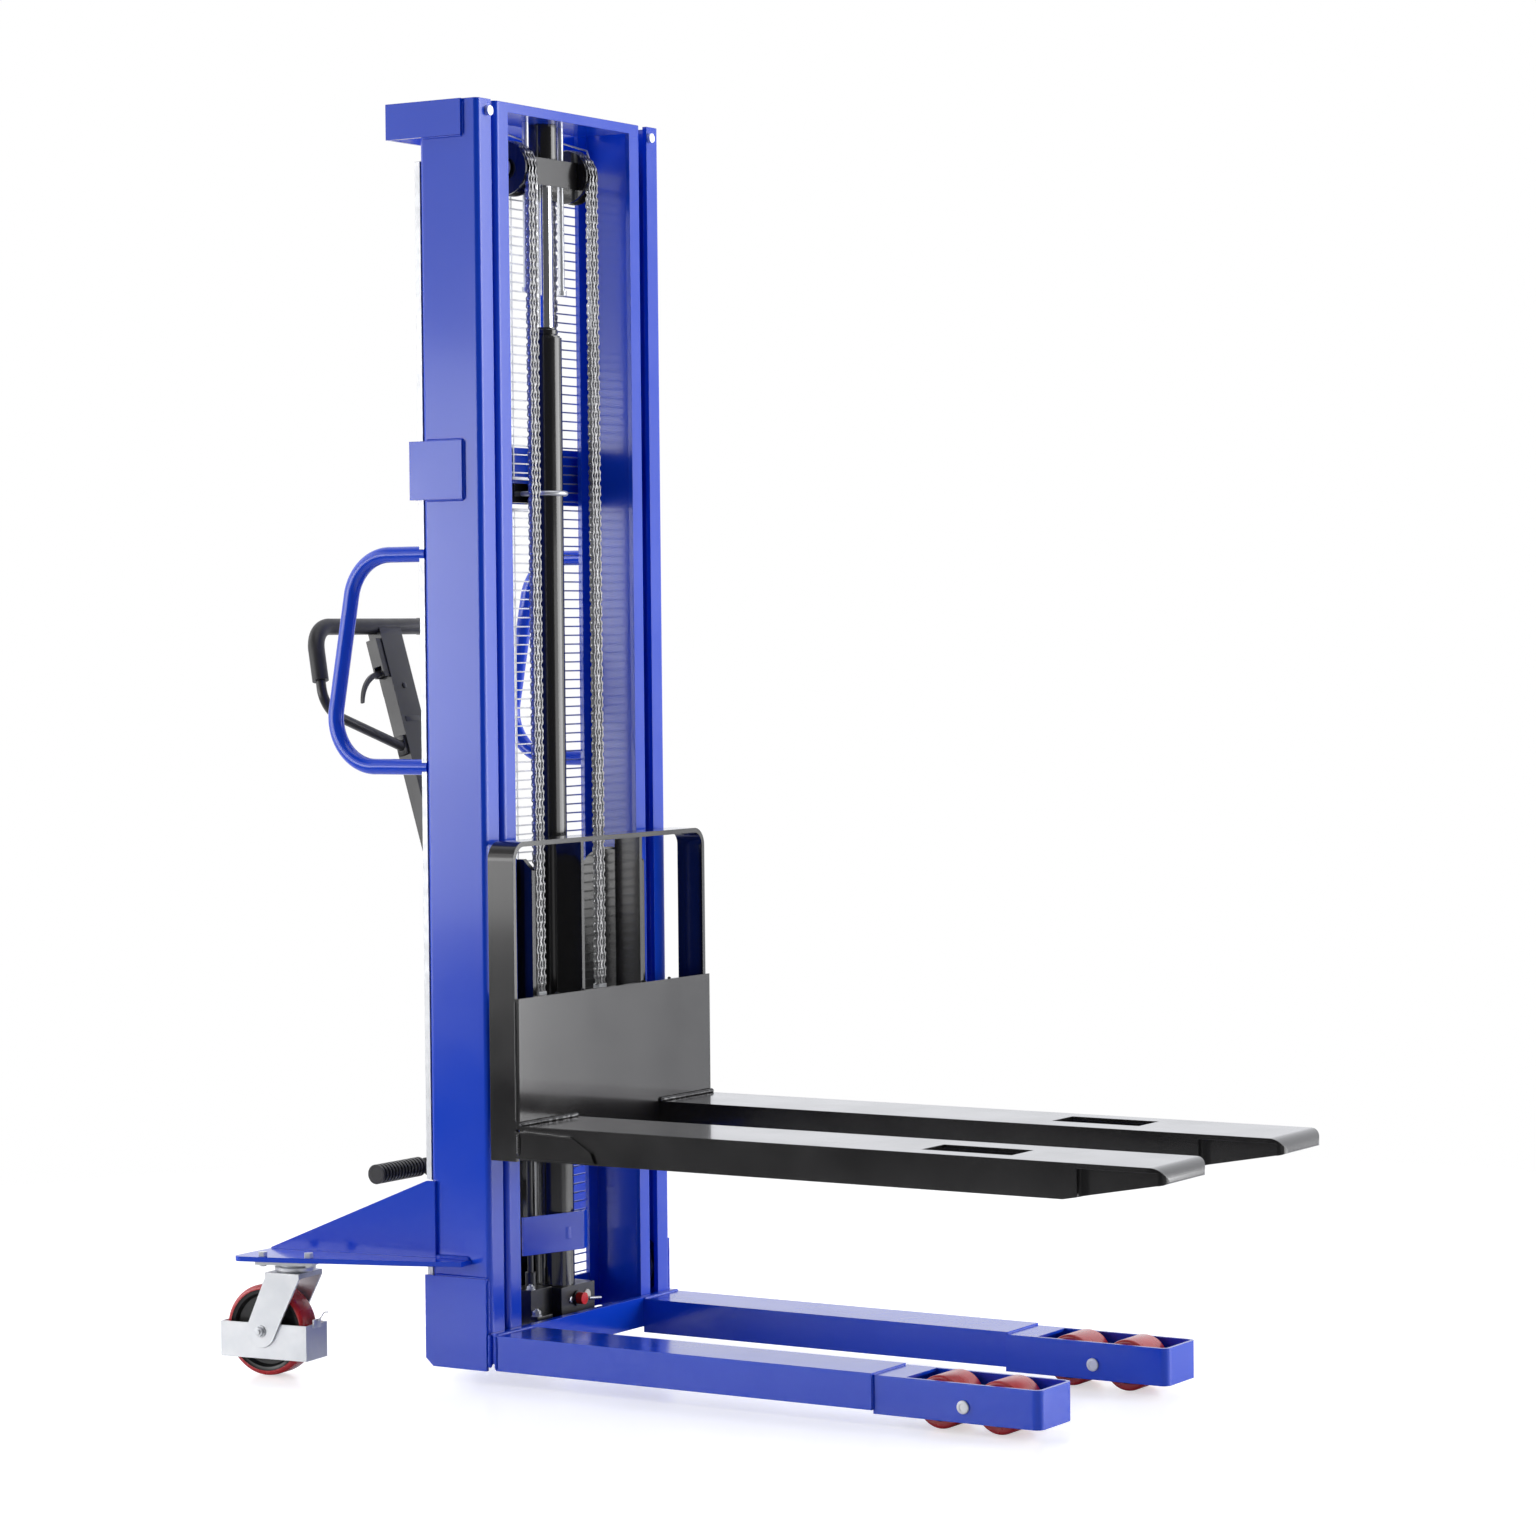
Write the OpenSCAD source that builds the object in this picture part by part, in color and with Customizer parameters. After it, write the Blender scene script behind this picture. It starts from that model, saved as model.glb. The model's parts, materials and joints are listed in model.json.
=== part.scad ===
// Hand pallet stacker with a two-stage mast, shown with its forks at the top of the free lift.
// X runs forward to the fork tips, Y to the left, Z up from the floor.
// Lengths along X are laid out from the front face of the mast, heights from a
// zero level a few millimetres under the floor, and the whole is then moved so
// that the origin lies on the floor under the middle of the outline.

/* [Outer mast] */
// Height of the mast above the zero level with the mast closed
mast_h = 2080; // [1900:10:2300]
// Width over the two outer channels
mast_w = 528; // [500:2:560]
// Depth of the outer channels, front to back
channel_d = 117; // [110:1:130]
// Width of the flanges of the outer channels
flange_w = 38; // [34:1:42]
// Wall of the mast channels
channel_t = 8; // [6:0.5:9]
// Outer bend radius of the mast channels
channel_r = 9; // [9:0.5:12]
// Depth that the top bracket reaches behind the mast front
top_bracket_back = 179; // [165:1:200]
// Height of the top bracket
top_bracket_h = 58; // [40:1:80]
// Depth that the middle bracket reaches behind the mast front
mid_bracket_back = 139; // [136:1:150]
// Height of the middle bracket
mid_bracket_h = 95; // [80:1:110]
// Height of the foot of the middle bracket above the zero level
mid_bracket_z = 1437; // [1400:5:1480]
// Thickness of the brackets and of the base side plates
bracket_t = 6; // [5:0.5:8]

/* [Inner mast] */
// Gap between the outer flanges and the inner channels
mast_gap = 15; // [12:0.5:18]
// Width of the flanges of the inner channels
inner_flange_w = 35; // [32:1:38]
// Set-back of the inner channels from the outer front and rear faces
inner_step = 2; // [1:0.5:3]
// Height of the foot of the inner mast above the zero level
inner_foot_z = 60; // [56:1:70]
// Thickness of the plate across the top of the inner mast
top_plate_t = 16; // [12:1:20]
// Height of the lower rollers of the inner mast above the zero level
inner_roller_z = 130; // [120:5:160]

/* [Base and legs] */
// Thickness of the floor plate and of the front cross plate
floor_t = 8; // [6:1:8]
// Height of the top of the floor plate
floor_z = 46; // [42:1:50]
// Distance that the floor plate reaches behind the mast front
floor_back = 215; // [205:1:240]
// Height of the front cross plate above the zero level plate's underside
cross_h = 50; // [40:1:50]
// Thickness of the front cross plate
cross_t = 12; // [8:1:14]
// Height of the base side plates' lower edge
side_low_z = 26; // [20:1:30]
// Height of the base side plates' upper edge
side_top_z = 175; // [160:1:180]
// Width of a straddle leg
leg_w = 105; // [95:1:108]
// Height of a straddle leg
leg_h = 57; // [45:1:58]
// Height of the underside of a straddle leg
leg_z = 28; // [24:1:34]
// Width over the two straddle legs
legs_w = 536; // [532:1:540]
// Distance from the mast front to the end of the roller boxes
leg_reach = 1007; // [980:1:1040]
// Length of a roller box
box_l = 290; // [275:1:300]
// Wall of a roller box
box_t = 6; // [5:0.5:8]
// Height of a roller box
box_h = 60; // [50:1:62]
// Height of the underside of a roller box
box_z = 22; // [18:1:26]

/* [Rolling gear] */
// Diameter of the load rollers
roller_d = 82; // [80:1:94]
// Width of the load rollers
roller_w = 70; // [60:1:72]
// Distance between the two rollers of a bogie
bogie_pitch = 102; // [98:1:106]
// Diameter of the caster wheels
wheel_d = 150; // [144:1:150]
// Width of the caster wheels
wheel_w = 44; // [40:1:50]
// Trail of the caster wheels behind the swivel
caster_trail = 46; // [25:1:50]
// Turn of the casters seen from above, the same on both sides
caster_turn = 6; // [0:1:20]
// Distance of the swivels behind the mast front
swivel_back = 328; // [320:1:350]
// Distance of a swivel from the middle plane
swivel_side = 355; // [345:1:370]
// Length of the toe guard round a caster wheel
guard_l = 165; // [162:1:180]
// Width of the toe guard round a caster wheel
guard_w = 64; // [60:1:80]

/* [Forks and carriage] */
// Height of the fork tops in the pose shown
fork_z = 430; // [425:1:440]
// Width over both forks
forks_w = 566; // [560:1:574]
// Width of a fork
fork_w = 160; // [150:1:165]
// Depth of a fork at its heel
fork_h = 55; // [50:1:58]
// Plate thickness of the forks
fork_t = 6; // [5:0.5:6]
// Distance from the mast front to the fork tips
fork_reach = 1222; // [1200:1:1300]
// Length of the taper under a fork tip
taper_l = 165; // [150:5:220]
// Width over the side plates of the carriage
carriage_w = 564; // [560:1:570]
// Height of the top bar of the carriage in the pose shown
carriage_top_z = 885; // [860:1:900]
// Height of the apron plate
apron_h = 204; // [180:1:220]
// Thickness of the apron plate
apron_t = 8; // [6:1:10]
// Width of the flat bars of the carriage, front to back
bar_d = 50; // [46:1:52]
// Thickness of the flat bars of the carriage
bar_t = 8; // [6:0.5:10]
// Distance of the flat bars of the carriage in front of the mast
bar_gap = 17; // [14:1:20]

/* [Lift] */
// Outer diameter of the lift cylinder
barrel_d = 56; // [52:1:58]
// Bore of the lift cylinder
barrel_bore = 46; // [42:1:47]
// Height of the top of the lift cylinder
barrel_top_z = 1714; // [1690:1:1730]
// Diameter of the piston rod
rod_d = 30; // [26:1:32]
// Travel of the crosshead on its guide rods
free_travel = 165; // [140:5:165]
// Height of the chain wheel axis in the pose shown
wheel_axis_z = 1984; // [1960:1:1990]
// Distance of the chain wheel axis behind the mast front
wheel_axis_back = 62; // [56:1:62]
// Distance of each lift chain from the middle plane
chain_side = 88; // [84:1:88]
// Width of a lift chain
chain_w = 25; // [20:1:25]
// Thickness of a lift chain
chain_t = 10; // [8:1:10]
// Diameter of the groove of a chain wheel
groove_d = 74; // [74:1:78]
// Diameter of a guide rod
guide_d = 11; // [10:0.5:12]
// Distance of each guide rod from the middle plane
guide_side = 50; // [48:1:51]

/* [Handles and pump] */
// Tube diameter of the push handles
handle_d = 26; // [22:1:28]
// Height of the upper bar of a push handle
handle_top_z = 1350; // [1320:1:1380]
// Height of the lower bar of a push handle
handle_low_z = 1003; // [980:1:1030]
// Length of the tiller from its pivot to the top bar
tiller_l = 928; // [880:1:960]
// Lean of the tiller to the rear in the pose shown
tiller_lean = 16.7; // [14:0.1:20]
// Width of the tiller arm
arm_w = 60; // [50:1:62]
// Depth of the tiller arm
arm_d = 26; // [22:1:30]
// Diameter of the grip on the tiller loop
grip_d = 28; // [24:1:30]
// Diameter of the rod of the tiller loop
loop_d = 17; // [14:1:18]
// Diameter of the ribbed pedal grip
pedal_d = 33; // [28:1:36]
// Length of the ribbed pedal grip
pedal_l = 122; // [100:1:130]

/* [Rear guard] */
// Spacing of the horizontal wires
wire_pitch = 15.2; // [15.2:0.2:40]
// Thickness of the wires
wire_t = 2.4; // [2:0.2:4]
// Height of the lower edge of the guard
guard_low_z = 105; // [90:5:200]
// Height of the upper edge of the guard
guard_top_z = 1985; // [1900:5:2000]

/* [Hidden] */
$fn = 48;

// Height of the floor above the zero level of the layout
sink = 5.4;
// Clearances: rotating pin in its bore, faces that pass one another, rollers in a channel
pin_gap = 0.05;
slide_gap = 0.3;
roller_gap = 0.5;
// Overlap that lets a cut pass through a face
cut = 1;
// How far a straight tube reaches into a bend, and how much thinner it is
bend_lap = 2;
bend_step = 0.2;

half_w = mast_w / 2;
web_y = half_w - channel_t;
tip_y = half_w - flange_w;
inner_y = tip_y - mast_gap;
inner_tip_y = inner_y - inner_flange_w;
inner_d = channel_d - 2 * inner_step;
mid_x = -channel_d / 2;
paint = "royalblue";
dark = "dimgray";
steel = "silver";
black = "black";
red = "crimson";

// Carriage
frame_back_x = bar_gap;
apron_back_x = bar_gap + bar_d;
apron_front_x = apron_back_x + apron_t;
apron_top_z = fork_z + apron_h;
carriage_half = carriage_w / 2;
carriage_low_z = fork_z - fork_h - 3;
carriage_corner_r = 30;
upright_y = 90;
roller_plate_t = 10;
roller_plate_y = inner_tip_y - 21;
roller_plate_back = 45;
carriage_roller_r = inner_d / 2 - channel_t - roller_gap / 2;
carriage_roller_w = 24;
upper_roller_z = carriage_top_z - 79;
lower_roller_z = fork_z + 10;
axle_r = 15;

// Forks
fork_out = forks_w / 2;
fork_in = fork_out - fork_w;
fork_low_z = fork_z - fork_h;
cut_out_x = 795;
cut_out_l = 156;
cut_out_w = 70;
cut_out_y = fork_out - 38 - cut_out_w / 2;
tip_round = 25;
tip_nose_r = 22;
tip_nose_h = 26;
tip_recess = 14;
tip_recess_x = 1095;
tip_lip = 8;

// Legs and bogies
leg_out = legs_w / 2;
leg_in = leg_out - leg_w;
box_out = leg_out - 5;
box_w = leg_w;
box_back_x = leg_reach - box_l;
box_y = box_out - box_w / 2;
box_corner_r = 14;
bogie_x = leg_reach - 132;
roller_z = roller_d / 2 + sink;
bogie_plate_t = 5;
bogie_half = roller_w / 2 + 1;
bogie_pin_r = 8;
bogie_bore_r = bogie_pin_r + pin_gap;

// Outriggers and casters
outrigger_z = 196;
outrigger_t = 8;
swivel_x = -swivel_back;
caster_plate_t = 5;
caster_top_z = outrigger_z - caster_plate_t;
caster_axle_z = wheel_d / 2 + sink;
caster_half = guard_w / 2;
caster_leg_t = 4;
guard_ahead = 3;
guard_rear_x = swivel_x - (caster_trail - guard_ahead + guard_l / 2) * cos(caster_turn)
    - guard_w / 2 * sin(caster_turn);

// Lift
barrel_x = mid_x + 1.5;
wheel_x = -wheel_axis_back;
chain_r = groove_d / 2 + chain_t / 2 + slide_gap;
chain_front_x = wheel_x + chain_r;
chain_rear_x = wheel_x - chain_r;
chain_wheel_r = groove_d / 2 + 7;
chain_wheel_w = chain_w + 9;
crosshead_h = 45;
crosshead_half = chain_side - chain_wheel_w / 2 - 1;
crosshead_top_z = wheel_axis_z + crosshead_h / 2;
crosshead_low_z = crosshead_top_z - crosshead_h;
stub_r = 10;
post_r = 24;
top_plate_z = mast_h - top_plate_t;
barrel_foot_z = 128;
sleeve_r = 33;
piston_z = 380;
guide_low_z = crosshead_low_z - free_travel - 12;
clevis_top_z = 628;
clevis_low_z = 605;
rod_anchor_z = 455;
anchor_plate_t = 12;
rear_split_z = 1600;
rear_anchor_z = 150;

// Handles and pump
handle_y = half_w - handle_d / 2;
handle_bend = 80;
tiller_x = -135;
tiller_z = 345;
tiller_axle_r = 10;
ear_t = 8;
ear_y = arm_w / 2 + 2;
plunger_arm = 43;
plunger_x = tiller_x - plunger_arm;
plunger_r = 9;
nose_r = 12;
pump_body_top = 170;
pedal_pivot = [-150, 235];
pedal_bar = [-286, 320];
pedal_lever_y = ear_y + ear_t + 4;
pedal_lever_t = 8;
pedal_pin_r = 7;
trigger_y = -arm_w / 2 - 8;
trigger_z = tiller_l - 84;
trigger_pin_r = 3;
valve_y = 10;
valve_z = 106;

function unit(v) = v / norm(v);
function heading(p, i) = unit(p[i + 1] - p[i]);
function turn(p, i) = let (a = heading(p, i - 1), b = heading(p, i)) atan2(a.x * b.y - a.y * b.x, a * b);
function setback(p, i, r) = i == 0 || i == len(p) - 1 ? 0 : r * tan(abs(turn(p, i)) / 2);

// Round rod in the XY plane along the points p, with every corner bent to radius r.
// The straights are a hair thinner than the bends and reach a little way into them.
module bent_rod(p, r, d) {
    last = len(p) - 1;
    for (i = [0:last - 1]) {
        u = heading(p, i);
        back = setback(p, i, r) - (i == 0 ? 0 : bend_lap);
        ahead = setback(p, i + 1, r) - (i == last - 1 ? 0 : bend_lap);
        start = p[i] + u * back;
        translate([start.x, start.y, 0]) rotate([0, 0, atan2(u.y, u.x)]) rotate([0, 90, 0])
            cylinder(d = d - bend_step, h = norm(p[i + 1] - p[i]) - back - ahead);
    }
    for (i = [1:last - 1]) {
        u = heading(p, i - 1);
        bend = turn(p, i);
        start = p[i] - u * setback(p, i, r);
        inward = [-u.y, u.x] * sign(bend);
        centre = start + inward * r;
        translate([centre.x, centre.y, 0])
            rotate([0, 0, atan2(-inward.y, -inward.x) + min(bend, 0)])
            rotate_extrude(angle = abs(bend)) translate([r, 0]) circle(d = d);
    }
}

// Plate drawn in X and Z, from y to y + t
module plate_xz(y, t) {
    translate([0, y + t, 0]) rotate([90, 0, 0]) linear_extrude(t) children();
}

// Round bar along Y from y1 to y2
module bar_y(x, z, r, y1, y2) {
    translate([x, y1, z]) rotate([-90, 0, 0]) cylinder(r = r, h = y2 - y1);
}

// Round bar along X from x1 to x2
module bar_x(y, z, r, x1, x2) {
    translate([x1, y, z]) rotate([0, 90, 0]) cylinder(r = r, h = x2 - x1);
}

// Box between two opposite corners
module box(a, b) {
    translate(a) cube(b - a);
}

// The same piece on the near side, across the middle plane
module near() {
    mirror([0, 1, 0]) children();
}

module both() {
    children();
    near() children();
}

// Channel with its web at y_out, open towards the middle plane, drawn in X and Y
module channel_section(x_front, depth, y_out, flange, t, r) {
    difference() {
        union() {
            translate([x_front - depth, y_out - flange]) square([depth, flange - r]);
            translate([x_front - depth + r, y_out - r - cut]) square([depth - 2 * r, r + cut]);
            translate([x_front - r, y_out - r]) circle(r);
            translate([x_front - depth + r, y_out - r]) circle(r);
        }
        translate([x_front - depth + t, y_out - flange - cut]) square([depth - 2 * t, flange + cut - t]);
    }
}

module outer_channel() {
    color(paint) translate([0, 0, floor_z]) linear_extrude(mast_h - floor_z)
        channel_section(0, channel_d, half_w, flange_w, channel_t, channel_r);
}

// Bracket that wraps the mast from behind, with its side plates outside the channels
module rear_bracket(back, front, z, h) {
    color(paint) translate([0, 0, z]) linear_extrude(h) difference() {
        translate([-back, -half_w - bracket_t]) square([back - front, mast_w + 2 * bracket_t]);
        translate([-back + bracket_t, -half_w]) square([back, mast_w]);
    }
}

module top_bracket() {
    rear_bracket(top_bracket_back, 29, mast_h - top_bracket_h, top_bracket_h);
}

module mid_bracket() {
    rear_bracket(mid_bracket_back, 34, mid_bracket_z, mid_bracket_h);
}

// Side plate of the base, with its rear lower corner cut off
module base_side_plate() {
    back = -channel_d - 10;
    color(paint) plate_xz(half_w, bracket_t)
        polygon([[back, side_low_z + 13], [back + 15, side_low_z], [-5, side_low_z],
            [-5, side_top_z], [back, side_top_z]]);
}

module front_cross_plate() {
    low = floor_z - floor_t;
    color(paint) box([0, -half_w, low], [cross_t, half_w, low + cross_h]);
}

module floor_plate() {
    color(paint) union() {
        box([-channel_d, -half_w, floor_z - floor_t], [0, half_w, floor_z]);
        box([-floor_back, -80, floor_z - floor_t], [-channel_d, 80, floor_z]);
    }
}

module straddle_leg() {
    wall = 5;
    color(paint) difference() {
        box([cross_t, leg_in, leg_z], [box_back_x, leg_out, leg_z + leg_h]);
        box([cross_t - cut, leg_in + wall, leg_z + wall],
            [box_back_x + cut, leg_out - wall, leg_z + leg_h - wall]);
    }
}

// Plan of a roller box: square at the leg, round corners at the front
module box_plan(grow) {
    r = box_corner_r + grow;
    front = leg_reach + grow;
    out = box_out + grow;
    in = box_out - box_w - grow;
    translate([box_back_x, in]) square([front - r - box_back_x, out - in]);
    translate([front - r - cut, in + r]) square([r + cut, out - in - 2 * r]);
    translate([front - r, out - r]) circle(r);
    translate([front - r, in + r]) circle(r);
}

// Roller box: closed sleeve over the leg end, then open above and below round the bogie
module roller_box() {
    sleeve_l = 55;
    open_x = box_back_x + sleeve_l;
    well_x = open_x - 15;
    top_t = 5;
    color(paint) difference() {
        translate([0, 0, box_z]) linear_extrude(box_h) box_plan(0);
        translate([0, 0, box_z - cut]) linear_extrude(box_h + 2 * cut) intersection() {
            box_plan(-box_t);
            translate([open_x, 0]) square([box_l, box_out]);
        }
        box([well_x, box_out - box_w + box_t, box_z - cut],
            [open_x + cut, box_out - box_t, box_z + box_h - top_t]);
    }
    color(steel) both_sides(box_y) bar_y(bogie_x, roller_z, bogie_pin_r, bogie_half - 0.5, box_w / 2 + 1);
}

// The same piece on both sides of the plane at y
module both_sides(y) {
    translate([0, y, 0]) both() children();
}

// Outrigger: flat plate from the side of the mast out over the caster, with a gusset on top
module outrigger() {
    corner = [-400, 400];
    corner_r = 13;
    gusset_top = 125;
    gusset_start = [-105, half_w + bracket_t + slide_gap];
    gusset_end = [-411, 314];
    run = gusset_end - gusset_start;
    color(paint) union() {
        difference() {
            translate([0, 0, outrigger_z]) linear_extrude(outrigger_t) {
                polygon([[-38, half_w], [-38, 292], [-133, 328], [-248, 365], [-295, 383], [-362, 403],
                    corner + [3, corner_r - 0.4], corner + [-corner_r, 0], [corner.x - corner_r, 306],
                    [-channel_d, half_w - 30], [-channel_d, half_w]]);
                translate(corner) circle(corner_r);
            }
            for (a = [-1, 1]) caster_bolt_place(a, 1)
                translate([0, 0, outrigger_z - cut]) cylinder(r = 6 + pin_gap, h = outrigger_t + 2 * cut);
        }
        translate([gusset_start.x, gusset_start.y, outrigger_z + outrigger_t])
            rotate([0, 0, atan2(run.y, run.x) - 180]) plate_xz(-bracket_t, bracket_t)
            polygon([[0, 0], [0, gusset_top], [-16, gusset_top], [-norm(run), 2], [-norm(run), 0]]);
    }
}

// Frame of a caster's mounting plate, and the places of its four bolts
module caster_plate_frame() {
    translate([swivel_x - 8, swivel_side, 0]) rotate([0, 0, -18]) children();
}

module caster_bolt_place(a, b) {
    caster_plate_frame() translate([a * 40, b * 26, 0]) children();
}

// Push handle: tube with a slanted grip, welded to the rear face of the outer channel
module push_handle() {
    path = [[-channel_d, handle_top_z], [-263, handle_top_z], [-326, handle_low_z],
        [-channel_d, handle_low_z]];
    color(paint) translate([0, handle_y, 0]) rotate([90, 0, 0]) bent_rod(path, handle_bend, handle_d);
}

// Wire guard behind the mast, with a framed slot for the tiller and a window for the cylinder bracket
module rear_guard() {
    bar = 5;
    depth = 10;
    x = -channel_d - depth;
    front = -channel_d;
    wires = floor((guard_top_z - guard_low_z - bar) / wire_pitch);
    edge = half_w - 2;
    slot_half = 62;
    slot_top = 470;
    window_low = mid_bracket_z - 8;
    window_top = mid_bracket_z + 40;
    color("gainsboro") difference() {
        union() {
            for (s = [-1, 1]) box([x, s * (edge - bar / 2) - bar / 2, guard_low_z],
                [front, s * (edge - bar / 2) + bar / 2, guard_top_z]);
            for (z = [guard_low_z, guard_top_z - bar]) box([x, -edge, z], [front, edge, z + bar]);
            box([x + 1, -1.5, slot_top], [x + 4, 1.5, guard_top_z]);
            for (i = [1:wires]) box([x + 1.3, -edge, guard_low_z + i * wire_pitch],
                [x + 1.3 + wire_t, edge, guard_low_z + i * wire_pitch + wire_t]);
            box([x, -slot_half - bar, guard_low_z], [front, slot_half + bar, slot_top + bar]);
            box([x, -slot_half - bar, window_low - bar], [front, slot_half + bar, window_top + bar]);
        }
        box([x - cut, -slot_half, guard_low_z - cut], [front + cut, slot_half, slot_top]);
        box([x - cut, -slot_half, window_low], [front + cut, slot_half, window_top]);
        for (z = [handle_top_z, handle_low_z]) for (s = [-1, 1])
            bar_x(s * handle_y, z, handle_d / 2, x - cut, front + cut);
        for (s = [-1, 1]) box([x - cut, s * (half_w - 14) - 20, outrigger_z],
            [front + cut, s * (half_w - 14) + 20, outrigger_z + outrigger_t + 126]);
    }
}

module frame_bolts() {
    color(steel) both() {
        bar_x(half_w - 29, mast_h - 19, 8, 0, 6);
        union() {
            caster_plate_frame() box([-50, -36, outrigger_z - caster_plate_t], [50, 36, outrigger_z]);
            for (a = [-1, 1]) caster_bolt_place(a, 1) {
                translate([0, 0, outrigger_z - 8]) cylinder(r = 6, h = 8 + outrigger_t);
                translate([0, 0, outrigger_z + outrigger_t]) cylinder(r = 8, h = 7.5, $fn = 6);
            }
        }
    }
}

// Plastic pads that guide the inner mast at the top of the outer channels
module slide_pads() {
    color("ivory") both() box([mid_x - 20, inner_y + slide_gap, mast_h - 90],
        [mid_x + 20, web_y, mast_h - 40]);
}

module lift_cylinder() {
    sleeve_top_z = 425;
    collar_r = 19;
    collar_h = 14;
    color(black) translate([barrel_x, 0, 0]) difference() {
        union() {
            translate([0, 0, barrel_foot_z]) cylinder(d = barrel_d, h = barrel_top_z - barrel_foot_z - 3);
            translate([0, 0, barrel_foot_z]) cylinder(r = sleeve_r, h = sleeve_top_z - barrel_foot_z);
            translate([0, 0, barrel_top_z - 3]) cylinder(d = barrel_d - 6, h = 3);
            translate([0, 0, barrel_top_z]) cylinder(r = collar_r, h = collar_h);
        }
        translate([0, 0, barrel_foot_z + 15])
            cylinder(d = barrel_bore, h = barrel_top_z - barrel_foot_z - 55);
        translate([0, 0, barrel_top_z - 50]) cylinder(r = rod_d / 2 + pin_gap, h = collar_h + 60);
    }
}

// Support of the cylinder at the middle bracket, with the U-bolt round the barrel
module cylinder_bracket() {
    u_d = 8;
    u_r = (barrel_d + u_d) / 2;
    plate_x = barrel_x - barrel_d / 2 - 8;
    web = [46, 52];
    low = mid_bracket_z;
    u_z = low + 15;
    color(dark) difference() {
        union() {
            box([plate_x, -web[1], low], [plate_x + 8, web[1], low + 32]);
            both() box([-mid_bracket_back + bracket_t, web[0], low], [plate_x, web[1], low + 32]);
        }
        for (s = [-1, 1]) bar_x(s * u_r, u_z, u_d / 2, plate_x - cut, plate_x + 8 + cut);
    }
    color(dark) translate([0, 0, u_z]) {
        for (s = [-1, 1]) bar_x(s * u_r, 0, u_d / 2, plate_x - 14, barrel_x);
        translate([barrel_x, 0, 0]) rotate([0, 0, -90]) rotate_extrude(angle = 180)
            translate([u_r, 0]) circle(d = u_d);
        for (s = [-1, 1]) translate([plate_x - 8, s * u_r, 0]) rotate([0, 90, 0])
            difference() {
                cylinder(r = 8, h = 8, $fn = 6);
                translate([0, 0, -cut]) cylinder(d = u_d, h = 8 + 2 * cut);
            }
    }
}

// Bent plate in front of the cylinder, held by a ring round the barrel
module pump_cover_plate() {
    low = 188;
    h = 64;
    color(paint) difference() {
        union() {
            translate([0, 0, low]) linear_extrude(h) {
                polygon([[-10, 19], [-18, 40], [-22.7, 38.2], [-15.3, 18.9], [-54.7, -98.4], [-50, -100]]);
            }
            translate([barrel_x, 0, low + 20]) cylinder(r = sleeve_r + 6, h = 20);
            box([barrel_x, 2, low + 20], [-17, 24, low + 40]);
        }
        translate([barrel_x, 0, low - cut]) cylinder(r = sleeve_r, h = h + 2 * cut);
    }
}

// Pump block under the cylinder with the valve seat, and the foot block with its bolts and pump pipe
module pump_block() {
    color("darkslategray") union() {
        box([-95, -35, floor_z], [-20, 62, barrel_foot_z]);
        bar_x(valve_y, valve_z, 13, -20, -16);
        bar_x(valve_y, valve_z, 4, -20, -12);
        box([-88, -95, floor_z], [-40, -35, barrel_foot_z + 2]);
        translate([-62, -64, barrel_foot_z + 2]) cylinder(r = 9, h = 26);
        translate([-62, -64, barrel_foot_z + 28]) cylinder(r = 5, h = 250);
    }
}

// Ears that carry the tiller and the pedal, with their axles, and the pump body between them
module tiller_bracket() {
    top = tiller_z + 24;
    color(dark) {
        for (s = [-1, 1]) difference() {
            plate_xz(s > 0 ? ear_y : -ear_y - ear_t, ear_t) polygon([[tiller_x - 40, floor_z],
                [tiller_x + 15, floor_z], [tiller_x + 15, top], [tiller_x - 22, top],
                [tiller_x - 40, 200]]);
            bar_y(tiller_x, tiller_z, tiller_axle_r, -ear_y - ear_t - cut, ear_y + ear_t + cut);
        }
        bar_y(tiller_x, tiller_z, tiller_axle_r, -ear_y - ear_t - 5, ear_y + ear_t + 5);
        bar_y(pedal_pivot.x, pedal_pivot.y, pedal_pin_r, -pedal_lever_y - pedal_lever_t - 3,
            -ear_y - ear_t);
    }
    color("darkslategray") difference() {
        box([plunger_x - 26, -ear_y + 2, floor_z], [plunger_x + 26, ear_y - 2, pump_body_top]);
        translate([plunger_x, 0, 90]) cylinder(r = plunger_r + pin_gap, h = 200);
    }
}

// Bolts on the floor plate that hold the rear ends of the lift chains
module chain_base_anchors() {
    color(steel) both() translate([chain_rear_x, chain_side, 0]) {
        translate([0, 0, floor_z]) cylinder(r = 4, h = rear_anchor_z - 22 - floor_z);
        translate([-4, -10, rear_anchor_z - 22]) cube([8, 20, 22]);
    }
}

// Straight stretch of both lift chains
module chain_run(x, z1, z2) {
    color("gray") both() box([x - chain_t / 2, chain_side - chain_w / 2, z1],
        [x + chain_t / 2, chain_side + chain_w / 2, z2]);
}

module chain_rear_lower() {
    chain_run(chain_rear_x, rear_anchor_z, rear_split_z);
}

module chain_rear_upper() {
    chain_run(chain_rear_x, rear_split_z, wheel_axis_z);
}

module chain_front_runs() {
    chain_run(chain_front_x, clevis_top_z, wheel_axis_z);
}

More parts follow.
